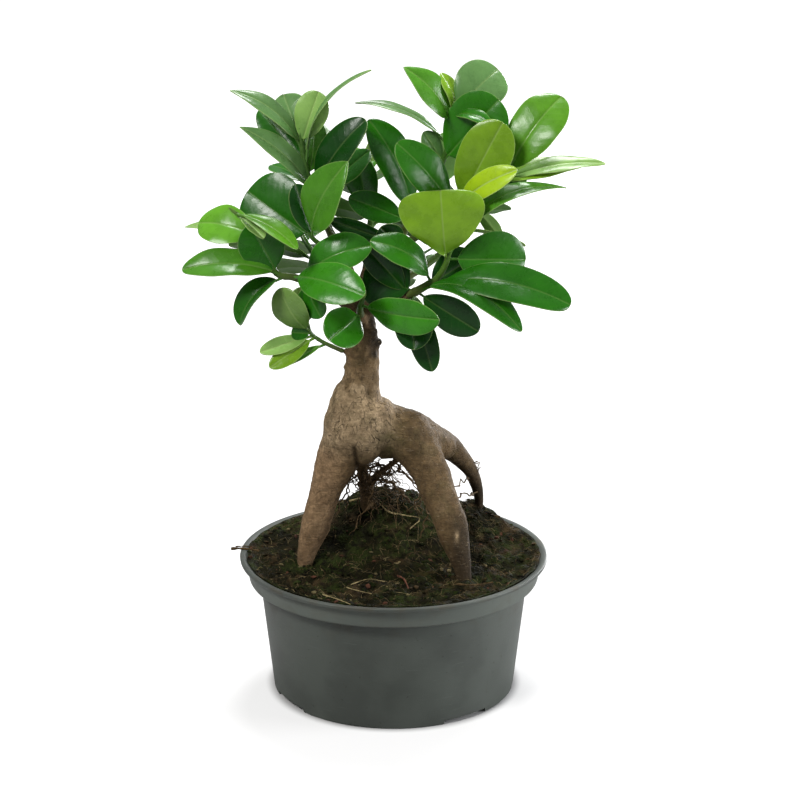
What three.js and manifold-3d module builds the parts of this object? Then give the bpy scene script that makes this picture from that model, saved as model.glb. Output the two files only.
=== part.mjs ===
// Ficus ginseng bonsai in a bowl pot: pot, soil, trunk with its roots, and leafy shoots.
// Units are millimetres, +Z is up, -Y is the front. The origin is on the pot's axis,
// at the level of the surface that the pot stands on.

import * as THREE from "three";
import { mergeVertices } from "three/addons/utils/BufferGeometryUtils.js";
import Module from "manifold-3d";

const wasm = await Module();
wasm.setup();

// Pot: thin moulded plastic, measured across its outside.
const RIM_RADIUS = 75;
const RIM_HEIGHT = 67;
const LIP_HEIGHT = 2;
const LIP_ROUND = 0.5;
const LIP_INSIDE = 1.4;
const BAND_RADIUS = 71;
const BAND_HEIGHT = 12;
const BAND_ROUND = 0.6;
const WALL_TOP_RADIUS = 65.2;
const FOOT_RADIUS = 59;
const FOOT_RING_WIDTH = 1.4;
const FOOT_RING_HEIGHT = 4;
const WALL = 1.3;
const FLOOR_THICKNESS = 1.5;
const POT_SIDES = 40;
const DRAIN_HOLES = 5;
const DRAIN_RADIUS = 4;
const DRAIN_CIRCLE = 36;
const DRAIN_SIDES = 12;
const NOTCH_TOP = 2;
const NOTCH_ARC = 24;
const NOTCH_REACH = { inside: 51, outside: 63 };
const NOTCH_ANGLES = [-59, 36, 90, 150, 212];
const CUT_PAST = 5;

// Clearance between pieces that rest on or stand in each other.
const GAP = 0.35;

// Soil: level at the rim, the mound behind the roots and a low swell at the rear root.
const SOIL_LEVEL = 64;
const SOIL_SIDES = 32;
const SOIL_RINGS = [59, 49, 39, 29, 19, 10, 3];
const SOIL_CLEARANCE = 0.6;
const MOUND = { x: -6, y: 30, height: 25, spreadX: 33, spreadY: 25 };
const SWELL = { x: 38, y: 44, height: 10, spreadX: 20, spreadY: 16 };
const CRUMB_HEIGHT = 1.1;

// Leaf blades.
const BLADE_THICKNESS = 0.8;
const PETIOLE_SHARE = 0.12;
const PETIOLE_RADIUS = 0.7;
// How fast each kind of outline tapers towards the blade's base and towards its tip.
const OUTLINES = {
  oval: [0.7, 0.55],
  round: [0.65, 0.45],
  lance: [0.7, 0.85],
  wedge: [0.9, 0.3],
};
const TIP_HALF_WIDTH = 0.42;
const LEAF_STATIONS = [0, 0.13, 0.34, 0.6, 0.88, 1];

// Woody branches and green twigs.
const WOOD_STEPS = 3;
const WOOD_SIDES = 7;
const TWIG_SIDES = 5;

const POT_COLOUR = 0x4a524f;
const SOIL_COLOUR = 0x2b2418;
const BARK_COLOUR = 0x7a6650;
const LEAF_COLOUR = 0x2f6d1c;

// Roots and trunk: centre points from the top down, with the radius at each.
const limbs = {
  body: [
    [[-11, 3, 116], 8], [[-13.5, 2, 120], 14], [[-16, 1, 129], 18], [[-16.5, 0, 138], 17.2],
    [[-17.5, 0, 145], 12.8], [[-15.8, 0, 151], 9.3], [[-15.2, 0, 159], 8], [[-14.8, 0, 169], 7.5],
    [[-15.4, 0.5, 180], 7.2], [[-16.2, 2, 191], 6.2], [[-16.8, 3, 199], 4.4],
  ],
  leftLeg: [
    [[-19, 1, 130], 13.2], [[-26, 0, 115], 11.3], [[-31.8, -2, 102], 7.9], [[-35, -4, 92], 7],
    [[-38, -6, 82], 7.1], [[-41.3, -7, 72], 5.4], [[-43.6, -8, 63], 4.2], [[-45.5, -9, 48], 3],
  ],
  rightLeg: [
    [[4, 1, 130], 13], [[12.5, -3, 118.5], 10.4], [[17.6, -7, 110.5], 8.9], [[20.7, -11, 103.5], 8.5],
    [[23.7, -16, 96.7], 7.9], [[26.7, -20, 90.6], 7.9], [[28.9, -23, 83], 7], [[31.1, -26, 76], 5.6],
    [[32.9, -28.5, 69], 4.1], [[34, -30, 60], 3.2], [[35, -31, 48], 2.2],
  ],
  rearRoot: [
    [[-5, 3, 128], 14], [[9, 6, 125.5], 11.3], [[17, 12, 120.5], 9.2], [[26, 19, 115.3], 6.4],
    [[33.5, 26, 106], 4.6], [[38.4, 32, 97.7], 3.4], [[41.8, 40, 86.3], 2.8], [[43, 45, 78], 2.3],
    [[42.5, 46, 68], 2], [[41, 44, 56], 1.6],
  ],
  middleRoot: [
    [[-14, 6, 120], 8], [[-15.5, 14, 106], 4.4], [[-14, 18, 96], 3.6], [[-13, 20, 86], 3.6],
    [[-13, 21, 76], 3], [[-13, 22, 60], 2],
  ],
  sideRoot: [
    [[-13.5, 19, 93], 2.6], [[-9, 18.5, 99], 1.9], [[-4, 17, 104], 1.4], [[2, 13, 110], 1.4],
    [[8, 8, 117], 3],
  ],
  cutStub: [
    [[-14, 0, 170], 4.5], [[-12, -4, 176], 3.8], [[-10, -6, 181], 3],
  ],
};
const LIMB_DETAIL = 1.25;
const ROOTS_IN_SOIL = ["leftLeg", "rightLeg", "rearRoot", "middleRoot", "sideRoot"];
const LIMB_SIDES = { body: 13, leftLeg: 10, rightLeg: 10, rearRoot: 9, middleRoot: 7, sideRoot: 5, cutStub: 6 };

// Shoots: the wood's points from the trunk on, then the green twig's, with the radii at the
// trunk, where the wood ends and at the tip. A leaf's row is its place along the twig from 0
// to 1, its tip, width, roll, arch and fold, and its outline if that isn't oval. At no roll the
// blades of the shoots in front look to the front, and those behind look up and to the back.
const FRONT = [0, -1, 0];
const BACK = [0, 0.5, 0.85];
const shoots = {
  shoot_left: {
    faces: FRONT,
    wood: [[-17, 0, 189], [-27, -6, 197], [-38, -11, 204]],
    twig: [[-46, -14, 208], [-54, -15, 210], [-58, -14, 219], [-62, -14, 230], [-72, -20, 239.6]],
    radii: [3.6, 2, 0.9],
    leaves: [
      [0.31, [-97.5, -20, 213], 17, 52, 0.15, 14],
      [0.30, [-71.5, -19, 186.5], 17, 60, 0.18, 24],
      [0.22, [-13, -42, 206.5], 20.5, -38, 0.12, 8],
      [0.38, [-66, -18, 234.4], 22, 10, 0.02, 8],
      [0.72, [-90.5, -4, 231.5], 21, 40, 0.16, 8],
      [0.78, [-98, 8, 227], 11, 80, 0.06, 10],
      [1.00, [-43.5, -34, 226], 12, -66, 0.10, 14],
      [0.98, [-59, -30, 230], 9, -60, 0.02, 24],
      [0.50, [-80, 8, 214.5], 14, 75, 0.02, 8],
      [0.10, [-10, -22, 225], 20, -40, 0.21, 12],
      [0.06, [-42, -12, 186], 10, 0, 0.04, 8],
      [0.07, [-33.5, -18, 189.5], 14, 30, 0.05, 8],
    ],
  },
  shoot_upper_left: {
    faces: FRONT,
    wood: [[-16.5, 2, 193], [-21, 4, 206], [-28, 3, 222]],
    twig: [[-34, 1, 236], [-39, -2, 251], [-42, -3, 266], [-43, -3, 276]],
    radii: [3.4, 2, 1],
    leaves: [
      [0.38, [-70, -14, 278.5], 14.5, 58, 0.12, 14, OUTLINES.lance],
      [0.46, [-57.5, 18, 254.6], 14, 70, 0.06, 8],
      [0.36, [-12.5, -10, 281], 20, -44, 0.12, 12],
      [0.52, [-36, 6, 279], 13, 30, 0.03, 12],
      [0.76, [-74.5, -6, 294], 14, 64, 0.15, 8, OUTLINES.lance],
      [0.84, [-51, 12, 289], 18, 0, 0.05, 8],
      [0.80, [-34, -4, 293], 16, -15, 0.05, 8, OUTLINES.round],
      [0.62, [-10, -10, 304], 8, -82, 0.17, 12, OUTLINES.lance],
      [0.60, [-62.5, 14, 281.5], 14, 20, 0.04, 8],
      [0.34, [-11, 10, 263], 16, -50, 0.04, 8],
      [0.46, [-50, 28, 266], 17, 150, -0.06, 8],
      [0.66, [-31, 26, 270], 17, 200, -0.06, 8],
    ],
  },
  shoot_centre_left: {
    faces: FRONT,
    wood: [[-20, 1, 203], [-25, -4, 213]],
    twig: [[-31, -9, 220], [-38, -12, 227], [-42, -12, 236]],
    radii: [2.4, 1.5, 0.9],
    leaves: [
      [0.62, [-68, 4, 245], 34, 6, 0.04, 6, OUTLINES.round],
      [0.66, [-20.5, -32, 266], 24, -42, 0.12, 10, OUTLINES.lance],
      [0.60, [-45, -14, 252], 13, 20, 0.04, 8],
    ],
  },
  shoot_top: {
    faces: FRONT,
    wood: [[-15, 4, 194], [-9, 8, 206], [0, 10, 217]],
    twig: [[7, 10, 228], [14, 9, 240], [21, 7, 254], [26, 6, 268], [28, 5, 281]],
    radii: [3.6, 2.2, 1],
    leaves: [
      [0.25, [-11.5, 2, 279], 21, 38, 0.14, 8],
      [0.22, [-21, 4, 242], 14, 20, 0.06, 10],
      [0.92, [4.8, -2, 304], 18, 50, 0.13, 8, OUTLINES.lance],
      [0.98, [22, 9, 299.5], 12, 60, 0.14, 8],
      [1.00, [48.5, 14, 300.4], 25, -20, 0.12, 8, OUTLINES.round],
      [0.66, [48.5, -2, 289], 29, -15, 0.05, 8, OUTLINES.round],
      [0.97, [45, -10, 278.5], 8, -60, 0.20, 10],
      [0.78, [-17.5, 0, 287.3], 11, 80, 0.13, 8, OUTLINES.lance],
      [0.66, [14, 4, 273], 10, 30, 0.05, 8],
      [0.80, [42, 36, 284], 18, 200, -0.06, 8],
      [0.45, [29, 36, 266], 18, 190, -0.05, 8],
      [0.04, [-30, 14, 229], 9, 0, 0.04, 8],
    ],
  },
  shoot_upper_right: {
    faces: FRONT,
    wood: [[-8, 8, 207], [3, 3, 217]],
    twig: [[14, 0, 227], [25, -3, 235], [35, -6, 242], [45, -6, 248], [54, -4, 254]],
    radii: [2.8, 2, 1],
    leaves: [
      [0.46, [1.5, -15, 271.2], 20, 35, 0.10, 8],
      [0.50, [50, -14, 280.5], 25, -15, 0.05, 6, OUTLINES.round],
      [0.50, [56, -28, 261.5], 13, -40, 0.14, 10],
      [0.96, [77.5, 2, 289.8], 24, -30, 0.15, 6, OUTLINES.round],
      [0.80, [62, 2, 255], 12, -30, 0.04, 8],
      [0.92, [98, -6, 260], 13, -68, 0.08, 10, OUTLINES.lance],
      [0.86, [88, 0, 257.5], 15, -62, 0.10, 10, OUTLINES.lance],
      [0.86, [68, 28, 268], 17, 200, -0.06, 8],
      [0.02, [-6, -6, 230], 14, 0, 0.04, 8],
    ],
  },
  shoot_right: {
    faces: FRONT,
    wood: [[-13, -2, 190], [-3, -8, 194], [7, -12, 199]],
    twig: [[14, -15, 203.5], [20, -17, 208], [24, -19, 215], [26, -20, 222]],
    radii: [3.4, 2.2, 1.1],
    leaves: [
      [0.80, [21.5, -25, 251.5], 40, -4, 0.10, 8, OUTLINES.wedge],
      [0.86, [61.5, -10, 215.5], 27, -12, 0.08, 8],
      [0.34, [81, -36, 200.5], 22, -52, 0.15, 8, OUTLINES.round],
      [0.14, [58.5, -40, 189], 17, -62, 0.24, 8],
      [0.12, [40, -14, 182], 17, 0, 0.04, 8],
      [0.40, [-10.5, -24, 227.5], 18, 54, 0.20, 8],
      [0.10, [-13, -9, 211], 29, 15, 0.05, 8],
      [0.95, [80, -8, 249], 13, -66, 0.22, 10, OUTLINES.lance],
      [0.04, [18.3, -22, 164.8], 14, 10, 0.03, 8],
      [0.08, [9.5, -28, 177], 18, 0, 0.04, 8],
      [0.30, [38, -6, 216], 20, 0, 0.04, 8],
      [0.02, [-14, -15, 224], 14, 10, 0.04, 8],
    ],
  },
  shoot_front: {
    faces: FRONT,
    wood: [[-14, -3, 184], [-15.5, -8, 188.5]],
    twig: [[-15.5, -11.5, 193], [-14, -14, 198]],
    radii: [2.6, 2, 1],
    leaves: [
      [0.60, [21, -42, 195.2], 18.5, 10, 0.06, 8],
      [0.10, [-29.5, -32, 182.5], 20, 20, 0.10, 8, OUTLINES.round],
    ],
  },
  shoot_low_left: {
    faces: FRONT,
    wood: [[-18, 0, 167], [-24, -3, 169.5]],
    twig: [[-28.5, -5, 172], [-35, -7, 176], [-39, -8.5, 180], [-40, -9, 183.5]],
    radii: [1.5, 1.1, 0.8],
    leaves: [
      [0.80, [-52.5, -14, 203], 18, -25, 0.15, 6],
      [1.00, [-44, -11, 202.5], 13, 0, 0.04, 8],
      [0.72, [-48, -10, 180.5], 9, 10, 0.04, 8],
      [0.66, [-62.5, -16, 172.4], 9, 40, 0.02, 10],
      [0.60, [-58, -18, 165.5], 9.5, 20, 0.04, 10],
      [0.38, [-52.5, -13, 165], 5, 40, 0.04, 10],
    ],
  },
  shoot_back_left: {
    faces: BACK,
    wood: [[-18, 5, 190], [-26, 13, 197]],
    twig: [[-34, 22, 205], [-42, 31, 214], [-48, 38, 224]],
    radii: [3.2, 2, 1],
    leaves: [
      [0.40, [-80, 36, 212], 19, 10, 0.07, 8],
      [0.75, [-66, 62, 222], 18, 0, 0.08, 8],
      [0.68, [-34, 60, 215], 15, 0, 0.08, 8],
      [0.55, [-44, 68, 200], 19, 10, 0.10, 8],
      [0.90, [-36, 66, 232], 17, -10, 0.06, 8],
      [1.00, [-58, 46, 241], 15, 20, 0.05, 8],
      [0.15, [-38, 50, 187], 17, 0, 0.08, 8],
      [0.20, [-61, 38, 199], 17, 10, 0.08, 8],
    ],
  },
  shoot_back: {
    faces: BACK,
    wood: [[-15, 7, 196], [-13, 15, 205]],
    twig: [[-11.5, 24, 215], [-11, 32, 226], [-12, 38, 238], [-13, 42, 250]],
    radii: [3, 2, 1],
    leaves: [
      [0.75, [-34, 50, 250], 17, 20, 0.06, 8],
      [0.90, [-20, 66, 254], 18, 0, 0.08, 8],
      [0.85, [4, 60, 245], 16, -20, 0.06, 8],
      [0.50, [-17, 32, 258], 18, 170, 0.04, 8],
      [0.50, [-35, 44, 229.5], 18, 20, 0.06, 8],
      [0.40, [2, 60, 221.5], 14, 0, 0.08, 8],
      [0.45, [10, 70, 219], 19, 0, 0.10, 8],
      [0.60, [-40, 60, 240], 17, 10, 0.08, 8],
      [1.00, [-5, 44, 263], 14, 0, 0.05, 8],
    ],
  },
  shoot_back_right: {
    faces: BACK,
    wood: [[-13, 5, 191], [-4, 12, 196], [6, 18, 200]],
    twig: [[16, 24, 205], [26, 30, 212], [34, 34, 221], [40, 37, 231]],
    radii: [3.2, 2, 1],
    leaves: [
      [0.35, [58, 44, 197], 19, -10, 0.08, 8],
      [0.30, [46, 68, 189], 18, 0, 0.10, 8],
      [0.55, [27, 70, 209], 19, 10, 0.10, 8],
      [0.80, [52, 62, 231], 18, 0, 0.08, 8],
      [1.00, [39, 46, 252], 16, 0, 0.05, 8],
      [0.95, [58, 38, 246], 16, -20, 0.06, 8],
      [0.90, [16, 54, 240], 16, 20, 0.06, 8],
      [0.45, [-2, 46, 222.5], 18, 20, 0.06, 8],
      [0.74, [64, 34, 212], 8, 0, 0.04, 8],
      [0.98, [52, 36, 215], 8, -40, 0.04, 16],
      [0.90, [57, 40, 229], 14, 0, 0.05, 8],
    ],
  },
  shoot_back_low: {
    faces: BACK,
    wood: [[-14, 7, 182], [-9, 14, 186]],
    twig: [[-3, 22, 190], [4, 30, 195], [9, 38, 201]],
    radii: [2.6, 1.8, 1],
    leaves: [
      [0.60, [2, 66, 182], 18, 0, 0.10, 8],
      [0.90, [17, 68, 197], 17, -10, 0.08, 8],
      [0.30, [-24, 60, 184], 18, 10, 0.10, 8],
      [1.00, [21, 50, 208], 14, 0, 0.06, 8],
      [0.15, [-16, 46, 172], 16, 0, 0.10, 8],
      [0.20, [12, 46, 176], 15, 0, 0.10, 8],
    ],
  },
};

const vec = (point) => new THREE.Vector3(...point);
const radians = THREE.MathUtils.degToRad;
const mix = THREE.MathUtils.lerp;
const curveThrough = (points) => new THREE.CatmullRomCurve3(points.map(vec), false, "centripetal");

// A closed solid through rings of equally many points, capped at both ends.
function loft(rings) {
  const count = rings[0].length;
  const last = rings.length - 1;
  const points = rings.flat();
  const centre = (ring) => ring.reduce((sum, p) => sum.add(p), new THREE.Vector3()).divideScalar(count);
  points.push(centre(rings[0]), centre(rings[last]));
  const [startCap, endCap] = [points.length - 2, points.length - 1];
  const faces = [];
  for (let i = 0; i < count; i += 1) {
    const j = (i + 1) % count;
    for (let ring = 0; ring < last; ring += 1) {
      const [a, b] = [ring * count + i, ring * count + j];
      faces.push(a, b, b + count, a, b + count, a + count);
    }
    faces.push(startCap, j, i, endCap, last * count + i, last * count + j);
  }
  const geometry = new THREE.BufferGeometry();
  geometry.setAttribute("position", new THREE.Float32BufferAttribute(points.flatMap((p) => [p.x, p.y, p.z]), 3));
  geometry.setIndex(faces);
  return facingOut(geometry);
}

// Turns every triangle round if the solid is inside out.
function facingOut(geometry) {
  const index = geometry.getIndex();
  const position = geometry.getAttribute("position");
  const corner = [0, 1, 2].map(() => new THREE.Vector3());
  let volume = 0;
  for (let i = 0; i < index.count; i += 3) {
    corner.forEach((point, k) => point.fromBufferAttribute(position, index.getX(i + k)));
    volume += corner[0].dot(corner[1].clone().cross(corner[2]));
  }
  if (volume < 0) {
    for (let i = 0; i < index.count; i += 3) {
      const swap = index.getX(i);
      index.setX(i, index.getX(i + 1));
      index.setX(i + 1, swap);
    }
  }
  return geometry;
}

// One vertex for each point of the geometry, without the triangles that then have no area,
// such as those where a lathe's profile meets its axis.
function welded(geometry) {
  const bare = geometry.clone();
  bare.deleteAttribute("normal");
  bare.deleteAttribute("uv");
  const merged = mergeVertices(bare, 1e-4);
  const index = merged.getIndex();
  const kept = [];
  for (let i = 0; i < index.count; i += 3) {
    const [a, b, c] = [index.getX(i), index.getX(i + 1), index.getX(i + 2)];
    if (a !== b && b !== c && a !== c) {
      kept.push(a, b, c);
    }
  }
  merged.setIndex(kept);
  return merged;
}

function toSolid(geometry) {
  const merged = facingOut(welded(geometry));
  const vertProperties = new Float32Array(merged.getAttribute("position").array);
  const triVerts = new Uint32Array(merged.getIndex().array);
  return new wasm.Manifold(new wasm.Mesh({ numProp: 3, vertProperties, triVerts }));
}

function toMesh(name, solid, material) {
  const { vertProperties, triVerts } = solid.getMesh();
  const geometry = new THREE.BufferGeometry();
  geometry.setAttribute("position", new THREE.BufferAttribute(new Float32Array(vertProperties), 3));
  geometry.setIndex(new THREE.BufferAttribute(new Uint32Array(triVerts), 1));
  geometry.computeVertexNormals();
  const mesh = new THREE.Mesh(geometry, material);
  mesh.name = name;
  return mesh;
}

function paint(colour, roughness) {
  return new THREE.MeshStandardMaterial({ color: colour, roughness, metalness: 0 });
}

// The radius at a place from 0 to 1 along a limb whose radii are evenly spaced.
function radiusAt(radii, place) {
  const scaled = place * (radii.length - 1);
  const low = Math.min(Math.floor(scaled), radii.length - 2);
  return mix(radii[low], radii[low + 1], scaled - low);
}

// A tapering limb along a part of a smooth curve. Swell makes it larger all round and longer.
function limb(curve, radii, { from = 0, to = 1, steps, sides, swell = 0 }) {
  const rings = [];
  let side = new THREE.Vector3(0, -1, 0);
  for (let k = 0; k <= steps; k += 1) {
    const place = k / steps;
    const centre = curve.getPoint(mix(from, to, place));
    const along = curve.getTangent(mix(from, to, place));
    side = side.clone().addScaledVector(along, -side.dot(along)).normalize();
    const other = along.clone().cross(side);
    const radius = radiusAt(radii, place) + swell;
    if (k === 0 || k === steps) {
      centre.addScaledVector(along, k === 0 ? -swell : swell);
    }
    const ring = [];
    for (let i = 0; i < sides; i += 1) {
      const angle = (2 * Math.PI * i) / sides;
      ring.push(centre.clone()
        .addScaledVector(side, radius * Math.cos(angle))
        .addScaledVector(other, radius * Math.sin(angle)));
    }
    rings.push(ring);
  }
  return toSolid(loft(rings));
}

// Half the blade's width at a place from 0 at the twig to 1 at the tip, as a share of the width.
function bladeShape(place, [baseTaper, tipTaper]) {
  const outline = (share) => share ** baseTaper * (1 - share) ** tipTaper;
  const widest = baseTaper / (baseTaper + tipTaper);
  const share = (place - PETIOLE_SHARE) / (1 - PETIOLE_SHARE);
  return (0.5 * outline(Math.max(share, 0))) / outline(widest);
}

// One leaf with its petiole. At no roll the blade's upper side looks the way that its shoot
// faces, and roll turns it about its own axis, in degrees. The midrib bows towards the upper
// side by arch times the leaf's length, and each half is raised by fold degrees.
function leaf(base, [tipPoint, width, roll, arch, fold, outline = OUTLINES.oval], faces) {
  const tip = vec(tipPoint);
  const chord = tip.clone().sub(base);
  const length = chord.length();
  const axis = chord.clone().normalize();
  const up = vec(faces);
  up.addScaledVector(axis, -up.dot(axis)).normalize().applyAxisAngle(axis, radians(roll));
  const across = axis.clone().cross(up);
  const rings = LEAF_STATIONS.map((s) => {
    const centre = base.clone().addScaledVector(chord, s).addScaledVector(up, 4 * s * (1 - s) * arch * length);
    const along = axis.clone().addScaledVector(up, 4 * (1 - 2 * s) * arch).normalize();
    const normal = across.clone().cross(along).normalize();
    const narrowest = s <= PETIOLE_SHARE ? PETIOLE_RADIUS : TIP_HALF_WIDTH;
    const half = Math.max(bladeShape(s, outline) * width, narrowest);
    const thick = s <= PETIOLE_SHARE ? PETIOLE_RADIUS : BLADE_THICKNESS / 2;
    const rise = half * Math.sin(radians(fold));
    const reach = half * Math.cos(radians(fold));
    const left = centre.clone().addScaledVector(across, -reach).addScaledVector(normal, rise);
    const right = centre.clone().addScaledVector(across, reach).addScaledVector(normal, rise);
    const lift = (point, amount) => point.clone().addScaledVector(normal, amount);
    return [lift(left, thick), lift(left, -thick), lift(centre, -thick), lift(right, -thick),
      lift(right, thick), lift(centre, thick)];
  });
  return toSolid(loft(rings));
}

function makePot() {
  const bandFoot = RIM_HEIGHT - BAND_HEIGHT;
  const underside = FOOT_RING_HEIGHT - FLOOR_THICKNESS;
  const ringInside = FOOT_RADIUS - FOOT_RING_WIDTH;
  const lipFoot = RIM_HEIGHT - LIP_HEIGHT;
  const outside = [
    [0, underside], [ringInside - BAND_ROUND, underside], [ringInside, 0],
    [FOOT_RADIUS, 0], [WALL_TOP_RADIUS, bandFoot], [BAND_RADIUS - BAND_ROUND, bandFoot + BAND_ROUND],
    [BAND_RADIUS + BAND_ROUND, lipFoot - BAND_ROUND], [RIM_RADIUS - LIP_ROUND, lipFoot],
    [RIM_RADIUS, lipFoot + LIP_ROUND], [RIM_RADIUS, RIM_HEIGHT - LIP_ROUND],
    [RIM_RADIUS - LIP_ROUND, RIM_HEIGHT], [RIM_RADIUS - LIP_INSIDE, RIM_HEIGHT],
  ];
  const inside = [
    [BAND_RADIUS - BAND_ROUND, RIM_HEIGHT - WALL], [BAND_RADIUS - BAND_ROUND - WALL, bandFoot + BAND_ROUND + WALL],
    [WALL_TOP_RADIUS - WALL, bandFoot + BAND_ROUND], [FOOT_RADIUS - WALL, FOOT_RING_HEIGHT],
    [0, FOOT_RING_HEIGHT],
  ];
  const profile = [...outside, ...inside].map(([r, z]) => new THREE.Vector2(r, z));
  let pot = toSolid(new THREE.LatheGeometry(profile, POT_SIDES).rotateX(Math.PI / 2));
  for (let hole = 0; hole < DRAIN_HOLES; hole += 1) {
    const turn = (2 * Math.PI * hole) / DRAIN_HOLES;
    const drill = new THREE.CylinderGeometry(DRAIN_RADIUS, DRAIN_RADIUS, 2 * CUT_PAST, DRAIN_SIDES);
    drill.rotateX(Math.PI / 2);
    drill.translate(DRAIN_CIRCLE * Math.sin(turn), DRAIN_CIRCLE * Math.cos(turn), FOOT_RING_HEIGHT);
    pot = pot.subtract(toSolid(drill));
  }
  for (const angle of NOTCH_ANGLES) {
    pot = pot.subtract(notch(radians(angle) - Math.PI / 2));
  }
  return pot;
}

// The wedge that cuts one notch through the foot ring, around a direction in plan.
function notch(turn) {
  const half = radians(NOTCH_ARC / 2);
  const at = (radius, angle) => new THREE.Vector2(radius * Math.cos(angle), radius * Math.sin(angle));
  const { inside, outside } = NOTCH_REACH;
  const outline = new THREE.Shape([
    at(inside, turn - half), at(outside, turn - half), at(outside, turn), at(outside, turn + half),
    at(inside, turn + half),
  ]);
  const wedge = new THREE.ExtrudeGeometry(outline, { depth: CUT_PAST, bevelEnabled: false });
  wedge.translate(0, 0, NOTCH_TOP - CUT_PAST);
  return toSolid(wedge);
}

function soilHeight(x, y) {
  const hill = ({ x: cx, y: cy, height, spreadX, spreadY }) =>
    height * Math.exp(-(((x - cx) / spreadX) ** 2) - ((y - cy) / spreadY) ** 2);
  const crumbs = Math.sin(0.31 * x + 1.3) * Math.sin(0.27 * y + 0.4) + 0.6 * Math.sin(0.53 * x - 0.41 * y);
  return SOIL_LEVEL + hill(MOUND) + hill(SWELL) + CRUMB_HEIGHT * crumbs;
}

// The soil fills the pot from the floor up, follows its band and has a hole for each root.
function makeSoil() {
  const bandFoot = RIM_HEIGHT - BAND_HEIGHT;
  const ringAt = (radius, height) => Array.from({ length: SOIL_SIDES }, (_, i) => {
    const angle = (2 * Math.PI * i) / SOIL_SIDES;
    const [x, y] = [radius * Math.cos(angle), radius * Math.sin(angle)];
    return new THREE.Vector3(x, y, height ?? soilHeight(x, y));
  });
  const bandInside = BAND_RADIUS - BAND_ROUND - WALL - SOIL_CLEARANCE;
  const rings = [
    ringAt(FOOT_RADIUS - WALL - SOIL_CLEARANCE, FOOT_RING_HEIGHT + GAP),
    ringAt(WALL_TOP_RADIUS - WALL - SOIL_CLEARANCE, bandFoot + BAND_ROUND),
    ringAt(bandInside, bandFoot + BAND_ROUND + WALL + GAP),
    ringAt(bandInside),
    ...SOIL_RINGS.map((radius) => ringAt(radius)),
  ];
  let soil = toSolid(loft(rings));
  for (const name of ROOTS_IN_SOIL) {
    soil = soil.subtract(trunkLimb(name, GAP));
  }
  return soil;
}

function trunkLimb(name, swell) {
  const rows = limbs[name];
  const curve = curveThrough(rows.map(([point]) => point));
  const radii = rows.map(([, radius]) => radius);
  return limb(curve, radii, { steps: Math.round(LIMB_DETAIL * (rows.length - 1)), sides: LIMB_SIDES[name], swell });
}

// A whole shoot lies on one curve, up to split the wood and from there on the green twig.
function shootCurve({ wood, twig }) {
  const curve = curveThrough([...wood, ...twig]);
  const split = (wood.length - 1) / (wood.length + twig.length - 1);
  return { curve, split };
}

function shootWood(shoot) {
  const { curve, split } = shootCurve(shoot);
  const radii = shoot.radii.slice(0, 2);
  return limb(curve, radii, { to: split, steps: WOOD_STEPS, sides: WOOD_SIDES });
}

function shootGreen(shoot) {
  const { curve, split } = shootCurve(shoot);
  const radii = shoot.radii.slice(1);
  const from = split + GAP / curve.getLength();
  let solid = limb(curve, radii, { from, steps: shoot.twig.length + 2, sides: TWIG_SIDES });
  for (const [place, ...shape] of shoot.leaves) {
    solid = solid.add(leaf(curve.getPoint(mix(from, 1, place)), shape, shoot.faces));
  }
  return solid;
}

function makeTrunk() {
  let trunk = trunkLimb("body", 0);
  for (const name of Object.keys(limbs).slice(1)) {
    trunk = trunk.add(trunkLimb(name, 0));
  }
  for (const shoot of Object.values(shoots)) {
    trunk = trunk.add(shootWood(shoot));
  }
  return trunk;
}

const plant = new THREE.Group();
plant.add(toMesh("pot", makePot(), paint(POT_COLOUR, 0.55)));
plant.add(toMesh("soil", makeSoil(), paint(SOIL_COLOUR, 0.95)));
plant.add(toMesh("trunk", makeTrunk(), paint(BARK_COLOUR, 0.8)));
for (const [name, shoot] of Object.entries(shoots)) {
  plant.add(toMesh(name, shootGreen(shoot), paint(LEAF_COLOUR, 0.4)));
}

export default plant;
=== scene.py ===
"""The looks of a ficus ginseng bonsai in its pot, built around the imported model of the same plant."""

import math
import random

import bmesh
import bpy
import numpy as np
from bpy.props import FloatProperty, FloatVectorProperty, IntProperty, PointerProperty
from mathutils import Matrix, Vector, noise


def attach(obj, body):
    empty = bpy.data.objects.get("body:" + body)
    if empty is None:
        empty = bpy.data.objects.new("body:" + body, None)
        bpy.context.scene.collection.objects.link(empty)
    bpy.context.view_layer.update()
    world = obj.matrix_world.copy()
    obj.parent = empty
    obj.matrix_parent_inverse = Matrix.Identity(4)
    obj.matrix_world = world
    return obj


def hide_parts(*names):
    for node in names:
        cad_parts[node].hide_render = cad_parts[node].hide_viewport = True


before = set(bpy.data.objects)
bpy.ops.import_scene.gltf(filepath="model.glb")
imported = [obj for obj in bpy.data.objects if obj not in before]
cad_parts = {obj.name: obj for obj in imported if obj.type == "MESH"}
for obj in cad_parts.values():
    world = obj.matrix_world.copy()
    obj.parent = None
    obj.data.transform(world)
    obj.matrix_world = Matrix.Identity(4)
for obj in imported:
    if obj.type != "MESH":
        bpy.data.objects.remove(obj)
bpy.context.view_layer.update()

bl_info = {
    "name": "Ficus ginseng bonsai",
    "version": (1, 0, 0),
    "blender": (4, 5, 0),
    "location": "3D View > Sidebar > Bonsai",
    "description": "Builds the pot, soil, trunk, roots and leaves of a small potted ficus",
    "category": "Add Mesh",
}

MM = 0.001

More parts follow.
